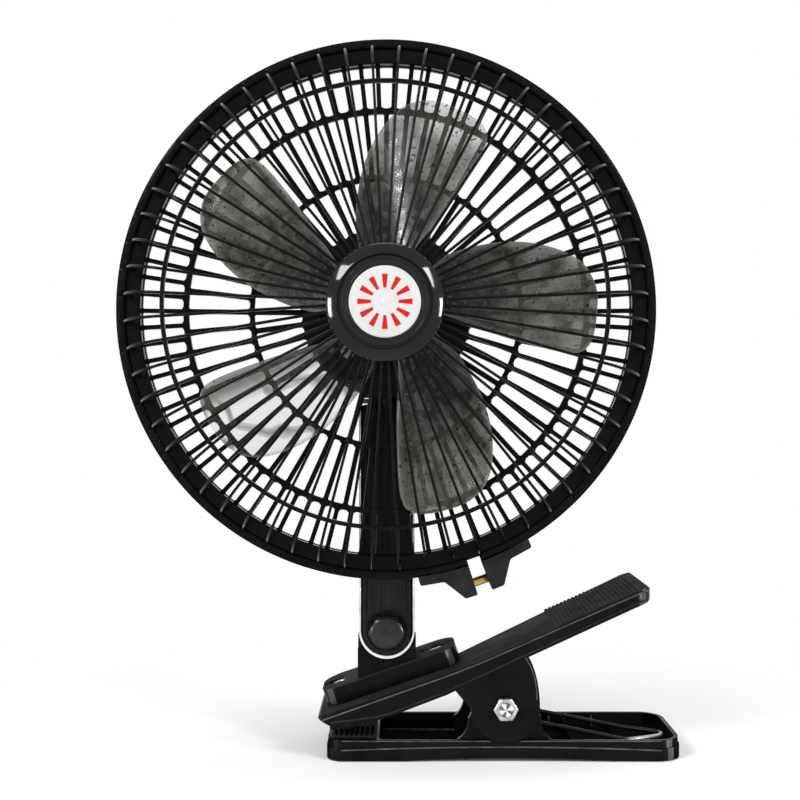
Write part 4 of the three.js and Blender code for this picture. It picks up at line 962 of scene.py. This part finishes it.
# Lower jaw: a shallow tray with a stepped lip, inner ears and cross ribs.
tray = {
    "left": -24.2, "right": 119.0, "half": 24.0, "height": 8.5, "lip": 5.4, "step": 0.5, "wall": 2.2,
    "floor": 2.2, "arch": 1.4, "lift": 0.4, "corners": (7, 10), "earInner": (17.4, 20.5), "earTop": 11,
    "pivot": (47.6, 21.5), "hole": 2.8, "pocket": (23.0, 18.6), "crossRibs": ((76, 6.2), (96, 4)),
    "longRibs": (-21.2, 20), "bars": (63, 70, 76.5, 88.5), "rimBead": 8.2, "archBead": (4.6, 7.4), "paintedShadeEdge": 2.5,
    "highlightFrom": 100,
}
footStrip = {"half": 22.4, "height": 1.5, "spans": ((-19.4, 4.0), (82.0, 107.0)), "pitch": 0.9, "depth": 0.4}


def earRoot(x, side):
    # One side of the inner ear's outline, which spreads into the tray's floor.
    return between((x + side * 19, 8), (x + side * 15, 10), (x + side * 14.5, 16.5), 8)


def trayBody():
    t = tray
    left, right, w, lift, s = t["left"], t["right"], t["half"], t["lift"], t["step"]
    px, pz = t["pivot"]
    inner = w - t["wall"]
    side = slab([(left, lift), *between((6, lift), (49, 2 * t["arch"]), (92, lift), 24), (right, lift),
                 (right, t["height"]), (left, t["height"])], -w, w)
    plan = united(plate(roundedBox([left, right], [-w, w], *t["corners"], 16), -1, t["lip"]),
                  plate(roundedBox([left + s, right - s], [s - w, w - s], *t["corners"], 16), t["lip"] - 0.01, 10))
    well = plate(roundedBox([-3, right - t["wall"]], [-inner, inner], 2, 8, 12), t["floor"] + t["arch"] / 2, 12)
    pockets = [moved(rod(upper["ear"] + 0.3, y, y + 4.4, 96), px, 0, pz) for y in (-w - 1, w - 3.4)]
    body = cut(cut(common(side, plan), well), *pockets)
    ear = [(px - 19, 2), *earRoot(px, -1), *arc((px, pz), t["earTop"], 160, 20, 40), *earRoot(px, 1)[::-1],
           (px + 19, 2)]
    near, far = t["earInner"]
    additions = [block([x - 0.8, x + 0.8], [2 - w, w - 2], [1.6, top]) for x, top in t["crossRibs"]]
    additions += [block([-4, 30], [y, y + 1.2], [1.6, 5.6]) for y in t["longRibs"]]
    additions += [slab(ear, -far, -near), slab(ear, near, far)]
    additions += [block([x - 0.5, x + 0.5], [inner - 1.3, inner + 0.4], [2.4, 7.6]) for x in t["bars"]]
    reach = footStrip["half"] + 0.3
    beds = [block([a - 0.3, b + 0.3], [-reach, reach], [-1, footStrip["height"] + 0.3])
            for a, b in footStrip["spans"]]
    return cut(united(body, *additions), moved(rod(t["hole"], -w - 1, w + 1), px, 0, pz), *beds)


def lowerJaw():
    t = tray
    w, s, px, rim = t["half"], t["step"], t["pivot"][0], t["rimBead"]
    inner, start, end = w - t["wall"], t["left"] + 6, t["right"] - 9
    side, middle = t["archBead"]
    lines = ((between((start, side), (px, middle), (end, side), 24), 0, 0.6),
             ([(start, rim), (px - 6, rim)], s, 0.5), ([(px + 6, rim), (end, rim)], s, 0.5))
    # The beads are lighter, as painted highlight lines.
    beads = [withPaintedHighlight(softened(bead(line, -w + back, high), 0.2)) for line, back, high in lines]
    # The ledge and thin strips on the far wall's bars are lighter, as painted highlight lines.
    ledge = block([-2, 29], [inner - 9, inner - 8.4], [2.2, 3.7])
    bars = [block([x - 0.35, x + 0.35], [inner - 1.5, inner - 1.25], [2.8, 7.4]) for x in t["bars"]]
    beads += [withPaintedHighlight(softened(mesh, 0.1, 2)) for mesh in (ledge, *bars)]
    piece = addPiece("jaw_lower", [softened(trayBody(), 0.45), *beads], armFoot, "lower_jaw",
                     "lower_jaw", blackPolypropylene)
    # The tray's floor and inner walls get painted shade.
    toned(piece, paintedShadePolypropylene, lambda centre, normal: (
        abs(centre.y - armFoot.y) < w - t["paintedShadeEdge"] and centre.z < 7
        and (normal.z > 0.7 or abs(normal.z) < 0.1)))
    # The right end's rounded corners get painted highlight bands.
    toned(piece, paintedHighlightPolypropylene, lambda centre, normal: centre.x > t["highlightFrom"] and isHighlightCorner(normal))


lowerJaw()
print("lower jaw done")

# Rubber pads between the jaws; the lower one's teeth stand up from its face.
pad = {"span": (-22.2, -4), "back": 8.8, "face": 9.3, "half": 21, "teeth": 9, "tooth": 1.1}


def lowerPad():
    (start, end), face = pad["span"], pad["face"]
    pitch = (end - start) / pad["teeth"]
    points = [(start, pad["back"], 0), (start, face, 0.2)]
    for i in range(pad["teeth"]):
        points += [(start + (i + 0.5) * pitch, face + pad["tooth"], 0.3), (start + (i + 1) * pitch, face, 0.3)]
    points.append((end, pad["back"], 0))
    mesh = softened(slab(rounded(points, steps=3), -pad["half"], pad["half"]), 0.2, 2)
    addPiece("pad_lower", [mesh], armFoot, "lower_jaw", "lower_jaw_pad", nitrileRubber)


lowerPad()
addPiece("pad_upper", [nodeCopy("upper_jaw_pad", 0.2)], partOrigin, "upper_jaw", "upper_jaw_pad",
         nitrileRubber)


# Two strips with fine ribs under the lower jaw, on which the fan stands.
def footStrips():
    half, pitch, depth = footStrip["half"], footStrip["pitch"], footStrip["depth"]
    inset = 0.2
    for side, (start, end) in zip(("left", "right"), footStrip["spans"]):
        bed = block([start, end], [-half, half], [depth, footStrip["height"]])
        rib = block([start + inset, start + inset + 0.55 * pitch], [inset - half, half - inset], [0, depth + inset])
        ribs = rowOf(softened(rib, 0.1, 2), int((end - start) / pitch), pitch, nitrileRubber)
        addPiece("foot_" + side, [softened(bed, 0.15, 2), ribs], armFoot, "lower_jaw",
                 "foot_strip_" + side, nitrileRubber)


footStrips()

# Double torsion spring on the pivot bolt. Its legs run through places in X and Z, measured from the bolt.
spring = {
    "wire": 0.9, "coil": 6.2, "pitch": 2.5, "innerY": 2.4, "turns": 3, "top": 135, "bottom": 261,
    "upperLeg": ((25.5, 29.4), (20, 27), (12.5, 20.8), (4, 12.6)), "lowerLeg": ((16, -9.3), (32, -12.4), (48, -15.6)),
    "bend": ((52, -16.2), (65, 3.6, -16.4), (67, 0.9, -16.4)), "blend": (10, 0, 12),
}


def springHalf(side):
    s = spring
    inner = s["innerY"]
    points = [(x, inner, z) for x, z in s["upperLeg"]]
    total = s["turns"] * 360 + s["bottom"] - s["top"]
    steps = round(total / 360 * 8)
    for i in range(steps + 1):
        turned = total * i / steps
        x, z = polar(s["coil"], s["top"] + turned)
        points.append((x, inner + s["pitch"] * turned / 360, z))
    outer = inner + s["pitch"] * total / 360
    (bendX, bendZ), *tips = s["bend"]
    points += [*[(x, outer, z) for x, z in s["lowerLeg"]], (bendX, outer - 0.8, bendZ), *tips]
    return [(x, y * side, z) for x, y, z in points]


def clampSpring():
    knots = springHalf(-1) + springHalf(1)[::-1]
    points = [eased(knots, i + k / 5) for i in range(len(knots) - 1) for k in range(5)] + [knots[-1]]
    line = rawMesh(points, [(i, i + 1) for i in range(len(points) - 1)], [])
    wire = grown(line, wireAlong, {"Radius": spring["wire"] * mm, "Sides": 14, "Material": highlightedSpringSteel()})
    piece = addPiece("spring_wire", [wire], clampPivot, None, "clamp_spring")
    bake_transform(piece)


clampSpring()

# Pivot nut and bolt: a bright hexagon with the bolt's turned end standing in it. The bolt's ends are
# given as radii and heights above the jaw's sides.
pivot = {
    "flats": 8.7, "gap": 0.4, "nut": 3.4, "bore": 2.85,
    "tip": ((0, 3.6), (2.2, 3.8), (2.5, 3.8), (2.8, 3.5), (2.8, 3), (2.45, 2.8)),
    "head": ((2.45, 0.4), (4.6, 0.4), (4.6, 2), (4.1, 2.9), (2.6, 3.6), (0, 3.6)),
}


def pivotFixings():
    w = tray["half"]
    front, back = -w - pivot["nut"], -w - pivot["gap"]
    dome = lathe([(0, front), (4.0, front), (5.2, front + 0.9), (5.2, back), (0, back)], 64)
    nut = cut(common(slab(hexagon(pivot["flats"], 1), front, back), dome), rod(pivot["bore"], front - 1, back + 1))
    addPiece("pivot_hexagon", [softened(nut, 0.15)], clampPivot, "lower_jaw", "pivot_nut", zincPlate)
    bolt = lathe([*[(r, -w - y) for r, y in pivot["tip"]], *[(r, w + y) for r, y in pivot["head"]]], 48)
    addPiece("pivot_pin", [bolt], clampPivot, "lower_jaw", "pivot_bolt", glintPaintedZinc())


pivotFixings()
print("clamp fixings done")

# Motor housing in two shells, open slots at the back, a switch window and the swing knob's boss.
housing = {
    "radius": 33.0, "wall": 2.0, "front": -18.1, "joint": 18.0, "back": 46.0, "gap": 0.3, "mouth": 8,
    "collar": (10.6, -34.4, -29.8), "collarBore": 6.8, "screws": (22, 1.6), "boss": (8, 24, 35.6),
    "knob": (12.3, 27.5), "knobBore": 2.5, "slots": 6, "slotStart": 3, "slotPitch": 3, "slot": 1.6,
    "window": (7, -10.6, -1.4), "gland": (3.3, -17.5),
}


def upright(radius, low, high, x=0.0, y=0.0):
    return plate(circle(radius, x, y, 60), low, high)


def housingCup():
    h = housing
    r, front, joint, mouth = h["radius"], h["front"], h["joint"], h["mouth"]
    inside, floor = r - h["wall"], front + h["wall"]
    shell = lathe(rounded([(mouth, front), (r - 3, front, 1), (r, front + 3, 2), (r, joint, 0.3), (inside, joint),
                           (inside, front + 3), (inside - 3, floor), (mouth, floor)]), 128)
    ring, hole = h["screws"]
    places = [polar(ring, angle) for angle in (45, 135, 225, 315)]
    shell = cut(united(shell, upright(*h["collar"])), rod(inside, front + 3.2, joint + 1, 128),
                upright(h["collarBore"], -40, -26), *[moved(rod(hole, -30, -10), x, 0, z) for x, z in places])
    addPiece("housing_cup", [softened(shell, 0.3)], fanAxis, "head", "motor_housing_front",
             blackPolypropylene)


def housingLid():
    h = housing
    r, w, back, start = h["radius"], h["wall"], h["back"], h["joint"] + h["gap"]
    face, low, high = r - 9, back - w - 1, back + 1
    outer = rounded([(r, start, 0.3), (r, back - 14, 3), (r - 3, back - 5, 3), (face, back, 2)], 0, 6)
    shell = lathe([(0, back), *outer[::-1], (r - w, start), (r - w, back - 14.4), (r - 5, back - 6),
                   (face - 0.8, back - w), (0, back - w)], 128)
    slots = []
    for i in range(h["slots"]):
        z, half = h["slotStart"] + i * h["slotPitch"], 14 - i * 0.7
        slots.append(slab(roundedBox([-half, half], [z, z + h["slot"]], 0.79, 0.79, 6), low, high))
    half, windowLow, windowHigh = h["window"]
    gland, glandZ = h["gland"]
    shell = cut(united(shell, upright(*h["boss"], *h["knob"])), rod(r - w - 0.2, start - 1, back - 14.4, 128),
                upright(h["knobBore"], 20, 37, *h["knob"]), *slots,
                block([-half, half], [low, high], [windowLow, windowHigh]), moved(rod(gland, low, high), z=glandZ))
    addPiece("housing_lid", [softened(shell, 0.3)], fanAxis, "head", "motor_housing_rear",
             blackPolypropylene)


housingCup()
housingLid()

# Small fixings keep the CAD's shape with softer edges.
fixings = {
    "swing_knob": ("swing_knob", "body_plastic", blackPolypropylene, 0.3),
    "speed_switch_body": ("head", "body_plastic", blackPolypropylene, 0.25),
    "speed_switch_rocker": ("speed_switch_rocker", "cap_gloss", polishedAbs, 0.3),
    "cord_gland": ("head", "pad_rubber", nitrileRubber, 0.2),
}
for nodeName, (bodyName, slotName, itsMaterial, edgeWidth) in fixings.items():
    addPiece(nodeName + "_soft", [nodeCopy(nodeName, edgeWidth)], partOrigin, bodyName, nodeName,
             itsMaterial)

# What hardly shows keeps the CAD's own mesh and gets a material only.
kept = {
    zincPlate: ("tilt_bolt", "tilt_nut", "motor_can", "gear_plate", "motor_shaft", "grille_screw_1",
                "grille_screw_2", "grille_screw_3", "grille_screw_4"),
    blackenedSteel: ("swivel_bush", "swivel_post"), laminatedSteel: ("armature",),
    blackPolypropylene: ("blade_nut",), naturalAcetal: ("worm_wheel",),
}
for itsMaterial, nodeNames in kept.items():
    for nodeName in nodeNames:
        for slotItem in frame["nodes"][nodeName].material_slots:
            slotItem.material = itsMaterial
print("fixings done")


# Floor, light and camera

def paleFloor(size=6000, fade=(120, 240)):
    # Pale floor whose shadow stays near the object and which fades into the white surround further off.
    material, add, coords = newMaterial("paleFloor")
    distance = add("VectorMath", [coords], "Value", operation="LENGTH")
    matt = add("BsdfDiffuse", {"Color": layered(add, "#f6f6f6", (patches(add, coords, 90), "#f2f2f1"))})
    glow = add("Emission", {"Color": (1, 1, 1, 1), "Strength": 1.0})
    far = add("MapRange", [distance, fade[0] * mm, fade[1] * mm, 0.0, 1.0])
    add("OutputMaterial", {"Surface": add("MixShader", [far, matt, glow])})
    outline = [(x, y, 0) for x, y in corners(-size, size, -size, size)]
    shown(clad(tidied(rawMesh(outline, [], [(0, 1, 2, 3)])), material), "floor")


def surround():
    # White to the camera, in reflections and through clear plastic; dimmer to matt surfaces.
    scene.world = bpy.data.worlds.new("surround")
    scene.world.use_nodes = True
    scene.world.node_tree.nodes.clear()
    add = partial(addNode, scene.world.node_tree)
    ray = add("LightPath").node.outputs
    mirrored = add("Math", [ray["Is Glossy Ray"], ray["Is Transmission Ray"]], operation="MAXIMUM")
    seen = add("Math", [ray["Is Camera Ray"], mirrored], operation="MAXIMUM")
    strength = add("MapRange", [seen, 0.0, 1.0, 0.42, 1.0])
    add("OutputWorld", {"Surface": add("Background", {"Color": (1, 1, 1, 1), "Strength": strength})})


def softbox(name, place, target, size, power):
    data = bpy.data.lights.new(name, "AREA")
    data.shape = "RECTANGLE"
    data.size, data.size_y = size
    data.energy = power
    lamp = shown(data, name)
    lamp.location = place
    lamp.rotation_euler = (Vector(target) - Vector(place)).to_track_quat("-Z", "Y").to_euler()


paleFloor()
surround()
softbox("softboxLeft", (-0.75, -0.72, 0.82), (0, 0, 0.17), (0.42, 0.3), 11)
softbox("softboxRight", (0.8, -0.68, 0.72), (0, 0, 0.17), (0.14, 0.4), 6)
softbox("stripOverhead", (0, -0.15, 1.3), (0, 0, 0.1), (0.6, 0.3), 5)
softbox("stripLowLeft", (-0.9, -0.5, 0.16), (0, 0, 0.05), (0.08, 0.3), 4)
softbox("stripLowRight", (0.9, -0.5, 0.16), (0, 0, 0.05), (0.08, 0.3), 5)

view = {"place": (-1.6, -511.75, 144.8), "lens": 56.61, "sensor": 36.0, "near": 0.01}
cameraData = bpy.data.cameras.new("camera")
cameraData.lens = view["lens"]
cameraData.sensor_width = view["sensor"]
cameraData.clip_start = view["near"]
camera = shown(cameraData, "camera")
camera.location = Vector(view["place"]) * mm
camera.rotation_euler = (math.pi / 2, 0, 0)
scene.camera = camera
scene.view_settings.view_transform = "Standard"
print("stage done")
